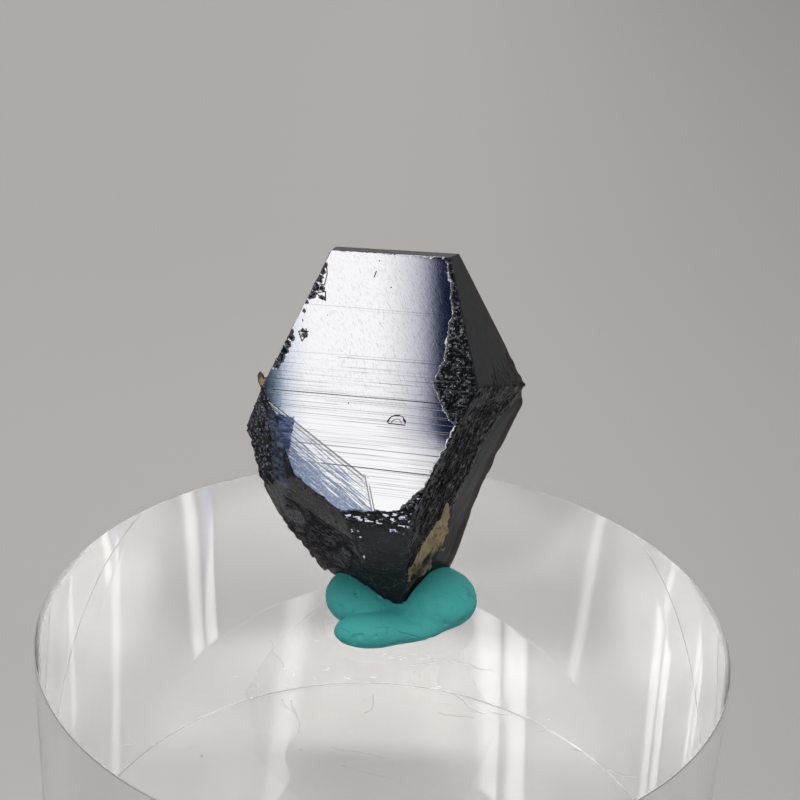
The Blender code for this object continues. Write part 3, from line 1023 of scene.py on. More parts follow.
def broken_finish():
    """Broken and pitted ground: near black, with small facets that glint, and faint curved ripples. It is
    bluer by the bright face's left side, where shade is painted, hatched on one patch below that, and greyer
    on the face under the ledges."""
    f = Finish("anatase_broken", IOR=1.30)
    place = f.place(CRYSTAL_CENTRE, CRYSTAL_TURN)
    x, _, z = f.parts(place)
    chance, tone, _ = f.parts(f.cells(place, 7.5, out="Color"))
    high = f.ramp(z, -4.6, -3.8)
    margin = f.ramp(x, -6.9, -7.5) * high
    shaded = f.ramp(x, -5.5, -5.7) * f.ramp(x, -7.5, -6.9) * high
    patchy = f.ramp(f.cloud(place, 0.9) + margin * 0.16, 0.46, 0.58)
    glint = f.ramp(chance + margin * 0.12, 0.94, 0.96) * patchy
    patch = f.cloud(place, 0.8, 4.0, 0.6)
    ripple = f.around(f.grain(place, (0.8, 0.8, 0.35), 30.0, 2.0) - 0.5, 0.035, 0.008)
    ripple = ripple * f.ramp(f.cloud(place, 1.1), 0.48, 0.60)
    ground = f.mix(patch, (0.0040, 0.0045, 0.0070), (0.0125, 0.0140, 0.0210))
    # Painted shade: by the bright face's left side the ground takes a streaked blue-grey.
    level = f.streaks(x * 0.7, z * 3.0, 3.0, 0.6)
    blue = f.mix(f.ramp(level, 0.40, 0.60), (0.018, 0.026, 0.048), (0.085, 0.115, 0.19))
    ground = f.mix(shaded, ground, blue)
    _, hx, hy, hz = f.on_face("left_break")
    hatched = f.ramp(f.length((hx + 4.0) / 1.1, (hy - 3.2) / 0.7), 1.15, 0.75)
    hatched = hatched * f.around(hz, 0.9, 0.6) * f.ramp(f.maths("SINE", hx * 24.0), -0.6, 0.6, 0.35, 1.0)
    ground = f.mix(hatched, ground, (0.150, 0.145, 0.155))
    _, _, down, deep = f.on_face("lower_front")
    front = f.around(deep, 0.8, 0.4) * f.ramp(down, 6.5, 4.0, 0.25, 1.0) * f.ramp(down, 1.0, 1.8)
    ground = f.mix(front, ground, f.mix(patch, (0.016, 0.0165, 0.021), (0.046, 0.047, 0.056)))
    speck = f.mix(margin, (0.10, 0.10, 0.12), (0.24, 0.25, 0.33))
    f.set(Base_Color=f.mix(glint, f.mix(ripple, ground, (0.055, 0.055, 0.062)), speck),
          Roughness=0.24 + tone * 0.18 + patch * 0.12, Metallic=glint * 0.9)
    hackle = f.grain(place, (0.5, 0.5, 0.12), 0.0, 3.0, 0.6)
    f.bump(hackle * 0.008 + f.cloud(place, 6.5, 3.0) * 0.008 + f.cells(place, 4.2) * 0.008 + ripple * 0.006)
    return f.material


# Pale curved lines at the right edge, by the ends of their pieces on the lower right face.
RIM_LINES = [
    ((7.0, -3.80), (5.22, -3.62)), ((5.22, -3.62), (3.87, -3.32)), ((3.87, -3.32), (3.74, -2.80)),
    ((7.3, -3.10), (5.41, -2.91)), ((5.41, -2.91), (4.70, -2.35)),
]


def fibrous_finish():
    """The lower right face: dull splinters with pale streaks, and a grey satin stripe beyond the ridge."""
    f = Finish("anatase_fibrous", IOR=1.30)
    place, x, y, _ = f.on_face("lower_right")
    streak = f.grain(place, (0.10, 1.6, 0.6), -SPLINTER_TURN, 3.0, 0.6)
    chance, tone, _ = f.parts(f.cells(place, 4.8, out="Color"))
    past = x - f.curve(y, RIDGE, low=-4.5, high=12.5, least=-7.0, most=7.0)
    beyond = f.ramp(past, -0.05, 0.35)
    crest = f.around(past + 0.20, 0.20, 0.05) * f.ramp(streak, 0.42, 0.54)
    pale = f.largest(f.ramp(streak, 0.57, 0.64) * 0.7, f.ramp(chance, 0.88, 0.92) * 0.8)
    band = f.mix(pale, (0.0030, 0.0034, 0.0050), (0.19, 0.19, 0.20))
    band = f.mix(f.around(past + 0.60, 0.24, 0.10) * 0.8, band, (0.0020, 0.0022, 0.0030))
    band = f.mix(crest, band, (0.20, 0.20, 0.21))
    sheen = f.grain(place, (0.25, 3.0, 0.6), -SPLINTER_TURN, 2.0)
    satin = f.mix(sheen, (0.024, 0.026, 0.028), (0.046, 0.049, 0.052))
    low = f.ramp(y, 5.0, 7.5)
    band = f.mix(low, band, f.scaled(band, 0.45))
    satin = f.mix(low, satin, (0.011, 0.015, 0.016))
    rims = lines_near(f, f.joined(x, y), RIM_LINES, 0.09)
    ground = f.mix(rims, f.mix(beyond, band, satin), (0.10, 0.10, 0.105))
    f.set(Base_Color=ground, Roughness=0.33 + tone * 0.18 * (1 - beyond) + beyond * 0.06,
          Metallic=pale * 0.3 * (1 - beyond))
    height = streak * (0.05 - beyond * 0.035) + f.cells(place, 4.8) * (1 - beyond) * 0.03
    f.bump(height + f.cloud(place, 8.0, 2.0) * 0.010)
    return f.material


def side_finish(name, face):
    """Faces that grew on the far side: black with a level grain as on the bright face, but less bright."""
    f = Finish(name, IOR=1.9)
    place, x, y, deep = f.on_face(face)
    grain = f.streaks(x * 0.05, y * 3.2, 3.0, 0.6)
    mottle = f.cloud(place, 0.9, 3.0)
    worn = f.ramp(deep, 0.085, 0.12)
    f.set(Base_Color=f.mix(mottle, (0.008, 0.009, 0.013), (0.020, 0.020, 0.025)),
          Metallic=f.ramp(grain, 0.4, 0.7) * 0.15, Roughness=0.16 + mottle * 0.15 + worn * 0.25)
    f.bump(grain * 0.010 + f.cloud(place, 5.0, 2.0) * 0.003)
    return f.material


# Finishes of the other pieces.

def tack_finish(colour):
    """Soft putty: a dull green skin with faint prints, dimples and a few dark specks."""
    f = Finish("green_tack", IOR=1.42, Subsurface_Weight=0.10, Subsurface_Scale=0.4 * MM)
    place = f.place((0.0, 0.0, BLOCK_TOP))
    soft = f.cloud(place, 0.55, 3.0)
    prints = f.grain(place, (0.9, 0.16, 0.4), 24.0, 2.0, 0.5, 1.4)
    fine = f.grain(place, (0.34, 0.14, 0.3), -20.0, 3.0, 0.6)
    specks = f.ramp(f.cells(place, 0.8), 0.070, 0.035)
    r, g, b = colour
    base = f.mix(soft, (r * 0.84, g * 0.92, b * 0.92), (r * 1.2, g * 1.06, b * 1.06))
    base = f.mix(f.ramp(fine, 0.56, 0.70) * 0.22, base, (r * 0.5, g * 0.6, b * 0.6))
    wrinkles = hairlines(f, place, 0.45, 0.010, 0.62)
    base = f.mix(f.largest(specks, wrinkles * 0.30), base, (r * 0.25, g * 0.25, b * 0.25))
    f.set(Base_Color=base, Roughness=0.55 + soft * 0.16)
    f.bump(prints * 0.034 + soft * 0.05 + fine * 0.028 - specks * 0.03 - wrinkles * 0.020)
    return f.material


# Where dark crystal shows through the rock, by the ends of its pieces on the lower right face.
ROCK_GAP = [((-1.08, 8.4), (-1.89, 9.08)), ((-1.89, 9.08), (-2.50, 10.4))]


def rock_finish():
    """Fine-grained rock: tan, golden towards its top and olive towards its foot, with darker grains."""
    f = Finish("tan_rock", IOR=1.5)
    place, x, y, _ = f.on_face("lower_right")
    low = f.ramp(y, 6.2, 9.2)
    patch = f.cloud(place, 1.1, 4.0, 0.6)
    streak = f.grain(place, (0.20, 1.6, 0.5), -24.0, 3.0)
    gold = f.mix(patch, (0.340, 0.265, 0.150), (0.720, 0.580, 0.360))
    olive = f.mix(patch, (0.130, 0.118, 0.076), (0.360, 0.320, 0.205))
    base = f.mix(f.ramp(streak, 0.52, 0.66) * 0.6, f.mix(low, gold, olive), (0.060, 0.050, 0.035))
    flat = f.joined(x + patch * 0.5 - 0.25, y)
    gap = lines_near(f, flat, ROCK_GAP, 0.8)
    base = f.mix(gap * f.ramp(patch, 0.35, 0.55, 1.0, 0.75), base, (0.012, 0.011, 0.010))
    f.set(Base_Color=base, Roughness=0.72 + patch * 0.15)
    f.bump(f.cloud(place, 5.0, 4.0, 0.65) * 0.07 + streak * 0.06)
    return f.material


def blade_finish():
    """Clear honey, brown in blotches, with a dark rim: the rim is the mesh's own attribute."""
    f = Finish("honey_blade", IOR=1.55, Transmission_Weight=0.45)
    place = f.place(CRYSTAL_CENTRE, CRYSTAL_TURN)
    rim = f.node("Attribute", {"attribute_name": "rim"}, out="Fac")
    blotch = f.ramp(f.cloud(place, 2.4, 2.0), 0.50, 0.64)
    honey = f.mix(blotch, (0.62, 0.46, 0.29), (0.30, 0.15, 0.06))
    f.set(Base_Color=f.mix(f.ramp(rim, 0.52, 0.80), honey, (0.035, 0.024, 0.018)),
          Roughness=0.18 + blotch * 0.1)
    f.bump(f.cloud(place, 6.0, 2.0) * 0.01)
    return f.material


ACRYLIC = (0.985, 0.99, 0.99)
ACRYLIC_IOR = 1.49
# Scratches on the block's top that stand out: their ends, in mm.
SCRATCHES = [
    ((-5.84, -10.35), (-5.08, -13.91)), ((-0.84, -11.39), (-0.33, -10.68)),
    ((-0.33, -10.68), (-0.52, -9.10)), ((4.01, -10.98), (6.2, -11.3)), ((6.0, -10.6), (8.47, -11.06)),
    ((-8.06, -3.31), (-6.83, -6.69)), ((12.7, -14.2), (14.0, -14.9)), ((14.8, -16.3), (16.4, -16.6)),
    ((5.09, -4.67), (7.7, -5.9)), ((2.2, -5.6), (5.4, -4.6)), ((-3.1, -15.2), (0.6, -16.0)),
    ((-2.0, -16.96), (1.18, -18.20)), ((4.6, -8.6), (6.75, -10.9)), ((9.6, -8.1), (10.9, -7.8)),
    ((-6.4, -10.3), (-5.5, -11.9)),
]


def acrylic_finishes():
    """Clear and polished: plain for the wall and the underside, for the flat top with hair scratches and a
    few specks and a haze at its outermost left and right, and for the top's turned edge a little dulled."""
    plain = Finish("clear_acrylic", IOR=ACRYLIC_IOR, Transmission_Weight=1.0, Roughness=0.0,
                   Base_Color=ACRYLIC)
    f = Finish("scratched_acrylic", IOR=ACRYLIC_IOR, Transmission_Weight=1.0)
    place = f.place((0.0, 0.0, BLOCK_TOP))
    x, y, _ = f.parts(place)
    bent = [(f.cloud(place, scale) - 0.5) * 1.2 for scale in (0.5, 0.6)]
    marks = lines_near(f, f.joined(x + bent[0], y + bent[1]), SCRATCHES, 0.06)
    hair = hairlines(f, place, 0.5, 0.0030, 0.66)
    smear = f.ramp(f.length((x - 2.6) / 4.6, (y + 4.4) / 0.8), 1.0, 0.5)
    dust = f.ramp(f.cells(place, 0.42), 0.050, 0.030) * f.ramp(f.cloud(place, 0.3), 0.48, 0.54)
    smudge = smear * f.ramp(f.grain(place, (0.5, 0.12, 1.0), -12.0, 2.0), 0.60, 0.66)
    worn = f.largest(marks * 0.45, hair * 0.20, dust * 0.7, smudge * 0.35)
    hazy = f.ramp(f.length(x, y), 24.2, 24.8) * f.around(x, 23.0, 24.0)
    f.set(Base_Color=f.mix(worn, ACRYLIC, (0.42, 0.42, 0.42)), Roughness=f.largest(worn * 0.25, hazy * 0.45))
    f.bump(worn * -0.008)
    dulled = Finish("dulled_acrylic", IOR=ACRYLIC_IOR, Transmission_Weight=0.75, Roughness=0.45,
                    Base_Color=(0.9, 0.9, 0.9))
    return [plain.material, f.material, dulled.material]


# The tack.

# Its lobes: centre from the middle of the block's top, half sizes, and turn about the upright, in mm and
# degrees.
TACK_BODY = [((-1.65, 1.45, 1.1), (2.8, 3.2, 1.72), 0.0), ((3.5, 1.75, 1.15), (3.2, 3.6, 1.8), 15.0),
             ((1.7, -1.15, 0.5), (2.5, 1.8, 0.85), 0.0), ((0.6, 3.4, 0.9), (3.9, 3.9, 1.6), 0.0)]
TACK_FOLD = ((-0.85, -2.28, 0.55), (2.75, 1.68, 1.18), 9.0)
TACK_BLEND = 0.6
FOLD_BLEND = (0.10, 0.90)
# Creases as the camera sees them: two places right and behind of the top's middle, 1 mm above it.
TACK_CREASES = [
    ((-0.28, 0.20), (-0.23, -1.41)), ((1.10, -3.05), (2.35, -3.59)), ((2.35, -3.59), (2.60, -3.95)),
    ((1.75, -1.25), (2.35, -1.75)), ((-0.60, -2.55), (0.35, -2.40)), ((3.6, 0.4), (3.75, -0.6)),
    ((0.75, 0.35), (1.35, 0.05)), ((-3.0, -3.0), (-2.5, -3.5)),
]
CREASE_DEPTH = 0.08
CREASE_HALF = 0.08
# How far behind the camera's line of sight lands for each millimetre of height.
LINE_OF_SIGHT = 1.73
# Where rays start, and the nearest and farthest places that are searched on them.
TACK_MIDDLE = (0.3, 0.3, 0.25)
TACK_START = 0.3
TACK_REACH = 9.0
SEARCH_STEPS = 60
HALVINGS = 12
TACK_ROWS = 190
TACK_COLUMNS = 420
# Rays below and along the foot: first and last rise in degrees, and how many.
UNDER_RISES = (-88, -6, 14)
FOOT_RISES = (-5, 0, 26)
HIGHEST_RISE = 87
# How deep the tack reaches into the crystal, and how high its lowest points stand over the block.
SUNK_IN = 0.10
LIFTED = 0.01


def lobe(points, centre, sizes, turn):
    """Roughly how far points lie outside an ellipsoid: (|q| - 1) times its mean half size, where q is the
    place in units of the half sizes."""
    angle = math.radians(turn)
    away = points - centre
    x = math.cos(angle) * away[..., 0] + math.sin(angle) * away[..., 1]
    y = -math.sin(angle) * away[..., 0] + math.cos(angle) * away[..., 1]
    q = np.stack([x, y, away[..., 2]], axis=-1) / sizes
    return (np.linalg.norm(q, axis=-1) - 1) * np.prod(sizes) ** (1 / 3)


def blended(first, second, width):
    """The smaller of two distances, rounded where they are nearly equal: with h = 1/2 + (b - a)/2w kept
    from 0 to 1, it is b + (a - b)h - w h(1 - h)."""
    share = np.clip(0.5 + 0.5 * (second - first) / width, 0, 1)
    return second + (first - second) * share - width * share * (1 - share)


def tack_field(points):
    """How far points in mm lie outside the tack."""
    field = lobe(points, *TACK_BODY[0])
    for other in TACK_BODY[1:]:
        field = blended(field, lobe(points, *other), TACK_BLEND)
    tight, wide = FOLD_BLEND
    width = tight + (wide - tight) * smooth_step(-1.5, 1.5, points[..., 0])
    return blended(field, lobe(points, *TACK_FOLD), width)


def creases(points):
    """How strongly each point lies in a crease: 1 on its line, falling with exp(-(d/h)^2)."""
    seen = np.stack([points[:, 0], points[:, 1] + (points[:, 2] - 1) * LINE_OF_SIGHT], axis=-1)
    strength = np.zeros(len(points))
    for start, end in TACK_CREASES:
        along = np.subtract(end, start)
        share = np.clip((seen - start) @ along / (along @ along), 0, 1)
        away = np.linalg.norm(seen - start - share[:, None] * along, axis=1)
        strength = np.maximum(strength, np.exp(-(away / CREASE_HALF) ** 2))
    return strength


def tack_mesh(name, finish):
    """The outermost place on each ray from the tack's middle where the field is zero, cut off by the
    block's top. Where that lies inside the crystal, the point moves out along the nearest of the crystal's
    lower faces."""
    low = np.concatenate([np.linspace(*UNDER_RISES), np.linspace(*FOOT_RISES)[:-1]])
    rise = np.radians(np.concatenate([low, np.linspace(0, HIGHEST_RISE, TACK_ROWS - len(low))]))
    around = np.linspace(0, 2 * math.pi, TACK_COLUMNS, endpoint=False)
    level = np.cos(rise)[:, None]
    upright = np.repeat(np.sin(rise)[:, None], TACK_COLUMNS, axis=1)
    rays = np.stack([level * np.sin(around), -level * np.cos(around), upright], axis=-1)
    rays = np.concatenate([rays.reshape(-1, 3), [(0, 0, -1), (0, 0, 1)]])
    inner = np.full(len(rays), TACK_START)
    for step in np.linspace(TACK_REACH, TACK_START, SEARCH_STEPS):
        inside = tack_field(TACK_MIDDLE + rays * step) < 0
        inner = np.where(inside & (inner <= TACK_START), step, inner)
    outer = inner + (TACK_REACH - TACK_START) / (SEARCH_STEPS - 1)
    for _ in range(HALVINGS):
        middle = (inner + outer) / 2
        inside = tack_field(TACK_MIDDLE + rays * middle[:, None]) < 0
        inner = np.where(inside, middle, inner)
        outer = np.where(inside, outer, middle)
    points = TACK_MIDDLE + rays * inner[:, None]
    folds = 0.07 * rough_noise(points, 1.7, 301) + 0.035 * rough_noise(points, (1.2, 0.35, 0.5), 305)
    pits = 0.10 * smooth_step(0.45, 0.85, noise(points, 0.55, 309))
    whirl = np.hypot(points[:, 0] - 2.1, points[:, 1] + 1.5)
    folds += 0.045 * np.sin(whirl * 9.0) * smooth_step(1.5, 0.4, whirl)
    reach = inner + folds - pits - CREASE_DEPTH * creases(points)
    floor = (LIFTED - TACK_MIDDLE[2]) / np.minimum(rays[:, 2], -1e-6)
    points = TACK_MIDDLE + rays * np.minimum(reach, floor)[:, None]
    placed = points * MM + (0, 0, BLOCK_TOP)
    below = HULL.distances - (placed - CRYSTAL_CENTRE) @ HULL.normals.T
    facing_down = HULL.normals[:, 2] < -0.1
    inside = below.min(axis=1) > SUNK_IN * MM
    choice = np.where(facing_down, below, np.inf)
    nearest = choice.argmin(axis=1)
    out = (choice.min(axis=1) - SUNK_IN * MM)[:, None] * HULL.normals[nearest]
    moved = placed + out
    moved[:, 2] = np.maximum(moved[:, 2], BLOCK_TOP + LIFTED * MM)
    placed = np.where(inside[:, None], moved, placed)
    return build(name, placed, closed_rings(TACK_ROWS, TACK_COLUMNS), [finish], sharp=50)


# The rock left in the crystal's lower right face.

# Its outline on that face: right and down.
ROCK_OUTLINE = [
    (0.26, 3.47), (0.91, 5.65), (2.70, 7.30), (3.20, 8.80), (2.00, 9.10), (0.73, 8.42), (0.07, 8.61),
    (0.08, 9.23), (0.71, 9.91), (-0.21, 10.00), (-0.91, 10.14), (-2.21, 10.16), (-2.62, 10.41),
    (-2.80, 11.06), (-3.11, 11.16), (-3.45, 9.97), (-4.20, 8.43), (-3.72, 8.00), (-3.09, 7.20),
    (-2.38, 6.54), (-2.07, 5.84), (-1.18, 5.74), (-0.78, 5.17), (0.05, 4.94),
]
ROCK_RINGS = 90
ROCK_SIDES = 360
# How high its underside lies over the face's flat.
ROCK_FLOOR = -0.95


def outline_reach(outline, centre, angles):
    """How far a closed outline lies from a centre inside it along each angle: on the side from a to b that
    the ray crosses, it is a x (b - a) / (ray x (b - a)). Corners are rounded by the mean of three
    neighbours."""
    a = np.array(outline, float) - centre
    along = np.roll(a, -1, axis=0) - a
    ray = np.stack([np.cos(angles), np.sin(angles)], axis=-1)
    crossing = ray[:, None, 0] * along[:, 1] - ray[:, None, 1] * along[:, 0]
    crossing = np.where(np.abs(crossing) < 1e-9, 1e-9, crossing)
    reach = (a[:, 0] * along[:, 1] - a[:, 1] * along[:, 0]) / crossing
    share = (a[:, 0] * ray[:, None, 1] - a[:, 1] * ray[:, None, 0]) / crossing
    met = (reach > 0) & (share > -1e-6) & (share < 1 + 1e-6)
    reach = np.where(met, reach, 0).max(axis=1)
    return (reach + np.roll(reach, 1) + np.roll(reach, -1)) / 3


def rock_mesh(name, finish):
    """A rough crust over the hollow, in rings from its middle to its ragged outline and back beneath it."""
    centre = np.mean(ROCK_OUTLINE, axis=0)
    around = np.linspace(0, 2 * math.pi, ROCK_SIDES, endpoint=False)
    ring = np.stack([np.cos(around), np.sin(around), np.zeros(ROCK_SIDES)], axis=-1)
    reach = outline_reach(ROCK_OUTLINE, centre, around) + 0.14 * rough_noise(ring * 3, 0.5, 401)
    share = np.concatenate([np.linspace(0, 1, ROCK_RINGS + 1)[1:], [0.7, 0.35]])[:, None]
    x = centre[0] + share * reach * np.cos(around)
    y = centre[1] + share * reach * np.sin(around)
    spots = np.stack([x, y, x * 0], axis=-1)
    crust = -0.16 + 0.15 * rough_noise(spots, 1.3, 411) + 0.13 * flakes(spots, 0.45, 415)
    crust += 0.05 * rough_noise(spots, 0.25, 421)
    height = crust - 0.45 * smooth_step(0.78, 1.0, share)
    height[ROCK_RINGS:] = ROCK_FLOOR
    place = HULL.spot("lower_right", x[..., None], y[..., None], height[..., None]) + CRYSTAL_CENTRE
    ends = HULL.spot("lower_right", *centre, out=np.array([[crust[0, 0]], [ROCK_FLOOR]])) + CRYSTAL_CENTRE
    points = np.concatenate([place.reshape(-1, 3), ends])
    return build(name, points, closed_rings(len(share), ROCK_SIDES), [finish], sharp=40)


# The blade on the left edge.

# Its middle in the crystal's frame and its lean, then its outline: right and up from the middle, all in mm.
BLADE_PLACE = (-8.54, -3.9, 2.9)
BLADE_LEAN = 12.0
BLADE_OUTLINE = [
    (-0.36, 0.74), (-0.51, 0.38), (-0.37, -0.11), (-0.14, -0.42), (0.09, -0.55), (0.21, -0.28),
    (0.26, -0.07), (0.24, 0.15), (0.40, 0.35), (0.33, 0.52), (0.07, 0.37), (-0.14, 0.65),
]
BLADE_THICK = 0.13
BLADE_RINGS = 24
BLADE_SIDES = 96


def blade_mesh(name, finish):
    """A thin lens over the outline: half as thick as sqrt(1 - s^2) at a share s of the way to its edge."""
    around = np.linspace(0, 2 * math.pi, BLADE_SIDES, endpoint=False)
    reach = outline_reach(BLADE_OUTLINE, np.zeros(2), around)
    share = np.sin(np.linspace(0, math.pi, BLADE_RINGS + 2)[1:-1])[:, None]
    side = np.where(np.linspace(0, 1, BLADE_RINGS) < 0.5, -1.0, 1.0)[:, None]
    x = share * reach * np.cos(around)
    z = share * reach * np.sin(around)
    y = side * BLADE_THICK * np.sqrt(np.maximum(1 - share ** 2, 0)) * (1 + 0 * x)
    y = y + 0.012 * noise(np.stack([x, y, z], -1), 0.25, 501)
    ends = [(0, -BLADE_THICK, 0), (0, BLADE_THICK, 0)]
    points = np.concatenate([np.stack([x, y, z], axis=-1).reshape(-1, 3), ends])
    lean = np.array(Matrix.Rotation(math.radians(BLADE_LEAN), 3, "Y"))
    placed = (points @ lean.T + BLADE_PLACE) @ CRYSTAL_TURN.T * MM + CRYSTAL_CENTRE
    triangles = closed_rings(BLADE_RINGS, BLADE_SIDES, turned_over=True)
    rim = np.concatenate([np.repeat(share, BLADE_SIDES), [0, 0]])
    return build(name, placed, triangles, [finish], sharp=60, values={"rim": rim})


# The block.

# Rings on each turned edge, how far beyond its ends one more ring keeps the shading flat, rings on the wall,
# and how far in mm the wall is untrue at most.
FILLET_STEPS = 6
SUPPORT = 0.03 * MM
WALL_ROWS = 26
RIPPLE = 0.016


def block_mesh(name, finishes, sides, edge):
    """Rings of points down a profile: flat top, fillet, wall, fillet, flat underside. The turned wall is not
    quite true, but nowhere stands outside the block's radius. The second finish is the flat top's, the third
    that of the fillet around it."""
    arc = np.linspace(0, math.pi / 2, FILLET_STEPS)
    fillet = [(BLOCK_RADIUS - edge + edge * math.sin(a), BLOCK_TOP - edge + edge * math.cos(a)) for a in arc]
    top = [(fillet[0][0] - SUPPORT, BLOCK_TOP), *fillet, (BLOCK_RADIUS, fillet[-1][1] - SUPPORT)]
    wall = [(BLOCK_RADIUS, z) for z in np.linspace(top[-1][1], BLOCK_TOP - top[-1][1], WALL_ROWS + 2)[1:-1]]
    low = [(r, BLOCK_TOP - z) for r, z in reversed(top)]
    profile = np.array([(BLOCK_RADIUS / 2, BLOCK_TOP), *top, *wall, *low, (BLOCK_RADIUS / 2, 0.0)])
    around = np.linspace(0, 2 * math.pi, sides, endpoint=False)
    ring = np.stack([np.cos(around), np.sin(around)], axis=1)
    flat = profile[:, None, :1] * ring
    points = np.concatenate([flat, np.broadcast_to(profile[:, None, 1:], (*flat.shape[:2], 1))], axis=2)
    untrue = RIPPLE * MM * (0.5 + 0.5 * rough_noise(points / MM, (9.0, 9.0, 16.0), 601, 2))
    on_wall = smooth_step(0.0, 2 * MM, np.minimum(points[..., 2], BLOCK_TOP - points[..., 2]))
    points[..., :2] *= 1 - (untrue * on_wall / BLOCK_RADIUS)[..., None]
    ends = [(0, 0, BLOCK_TOP), (0, 0, 0)]
    triangles = closed_rings(len(profile), sides, turned_over=True)
    points = np.concatenate([points.reshape(-1, 3), ends])
    lowest = points[triangles][..., 2].min(axis=1)
    slots = np.where(lowest > BLOCK_TOP - 1e-9, 1, np.where(lowest > BLOCK_TOP - edge - 1e-9, 2, 0))
    return build(name, points, triangles, finishes, slots, sharp=30)


# The stage.

# The camera that the photograph was taken with, as fitted to the block's rim: angles are in degrees.
PHOTO_SIZE = 800
FOCAL_PIXELS = 1540.0
SENSOR = 36.0
CAMERA_PLACE = Vector((0.320 * MM, -95.755 * MM, 111.183 * MM))
CAMERA_PITCH = 24.416
CAMERA_ROLL = 2.844
FLOOR_HALF = 3.0
FLOOR_GAP = 0.05 * MM


def camera_turn():
    """The camera's right, up and backward directions as columns."""
    roll, pitch = math.radians(CAMERA_ROLL), math.radians(CAMERA_PITCH)
    level = Matrix(((1, 0, 0), (0, math.sin(pitch), -math.cos(pitch)), (0, math.cos(pitch), math.sin(pitch))))
    return level @ Matrix.Rotation(roll, 3, "Z")


def floor_finish(colour):
    """Plain and pale. The light on it falls off to the right and far behind, gathers behind the block's
    middle, where the block throws it, and is dimmer on both sides under the block and at its left front."""
    f = Finish("floor", Roughness=0.9)
    x, y, _ = f.parts(f.place())
    aside = f.size(x)
    gathered = f.ramp(y, 14.6, 18.4) * f.ramp(y, 28.0, 24.5) * f.ramp(aside, 4.0, 13.0, 0.46, 0.10)
    beside = f.ramp(y, -22.0, -12.0)
    dimmed = f.ramp(aside, 12.0, 17.0) * f.ramp(aside, 27.0, 22.0) * f.ramp(y, 17.0, 12.0) * beside
    light = f.ramp(x, -60.0, 200.0, 1.06, 0.66) * f.ramp(y, 60.0, 250.0, 1.0, 0.94)
    light = light * (gathered + 1.02 - dimmed * 0.14)
    light = light * (1 - f.ramp(y, 25.0, 70.0) * f.ramp(x, 20.0, -60.0) * 0.07)
    light = light * (1 - f.ramp(x, 1.0, -5.0) * f.ramp(y, 9.0, 5.0) * beside * 0.20)
    f.set(Base_Color=f.scaled(colour, light))
    return f.material


# The studio as it is seen in the polished faces. Each strip leans: its bearing at STRIP_LEVEL degrees of
# height (0 is -Y, and it grows towards +X), how far that moves for each degree of height, half width, and
# brightness.
ROOM = 0.42
STRIP_LEVEL = 30.0
STRIP_SOFT = 3.0
STRIPS = [(-36.5, -1.2, 4.6, 3.5), (30.5, 1.2, 4.4, 2.3)]
STRIP_HEIGHTS = (25.0, 44.0)
# The lamp: towards it, the cosines where it starts and is full, and its brightness.
OVERHEAD = ((0.0, -0.17, 0.98), 0.975, 0.985, 9.0)
# The panel that the bright face mirrors, by the photograph's pixels that show it: its edges' places and, for
# the right one, how far it moves outwards below a height. Colours run from each edge inwards over a count of
# pixels.
PANEL_LEFT = 258.0
PANEL_RIGHT = 444.0
PANEL_FOOT = 588.0
PANEL_WIDER = (425.0, 470.0, 30.0)
LEFT_FADE = (50.0, [(0.0, (0.02, 0.03, 0.05)), (0.24, (0.045, 0.058, 0.085)), (0.32, (0.09, 0.125, 0.18)),
                    (0.40, (0.20, 0.27, 0.36)), (0.48, (0.42, 0.49, 0.58)), (0.56, (0.62, 0.67, 0.74)),
                    (0.70, (0.79, 0.83, 0.89)), (1.0, (1.0, 1.0, 1.0))])
RIGHT_FADE = (66.0, [(0.0, (0.004, 0.008, 0.026)), (0.06, (0.011, 0.017, 0.038)),
                     (0.12, (0.060, 0.072, 0.11)), (0.18, (0.16, 0.17, 0.23)), (0.24, (0.29, 0.30, 0.38)),
                     (0.42, (0.56, 0.57, 0.62)), (0.67, (0.80, 0.79, 0.81)), (1.0, (1.0, 1.0, 1.0))])
FOOT_FADE = (40.0, [(0.0, (0.13, 0.20, 0.38)), (1.0, (1.0, 1.0, 1.0))])
PANEL_LIGHT = 4.25
# Where the panel and the dark around it stand before the studio: left, right, upper and lower end, and how
# soft those are.
PANEL_SURROUND = (205.0, 480.0, 60.0, 700.0, 18.0)


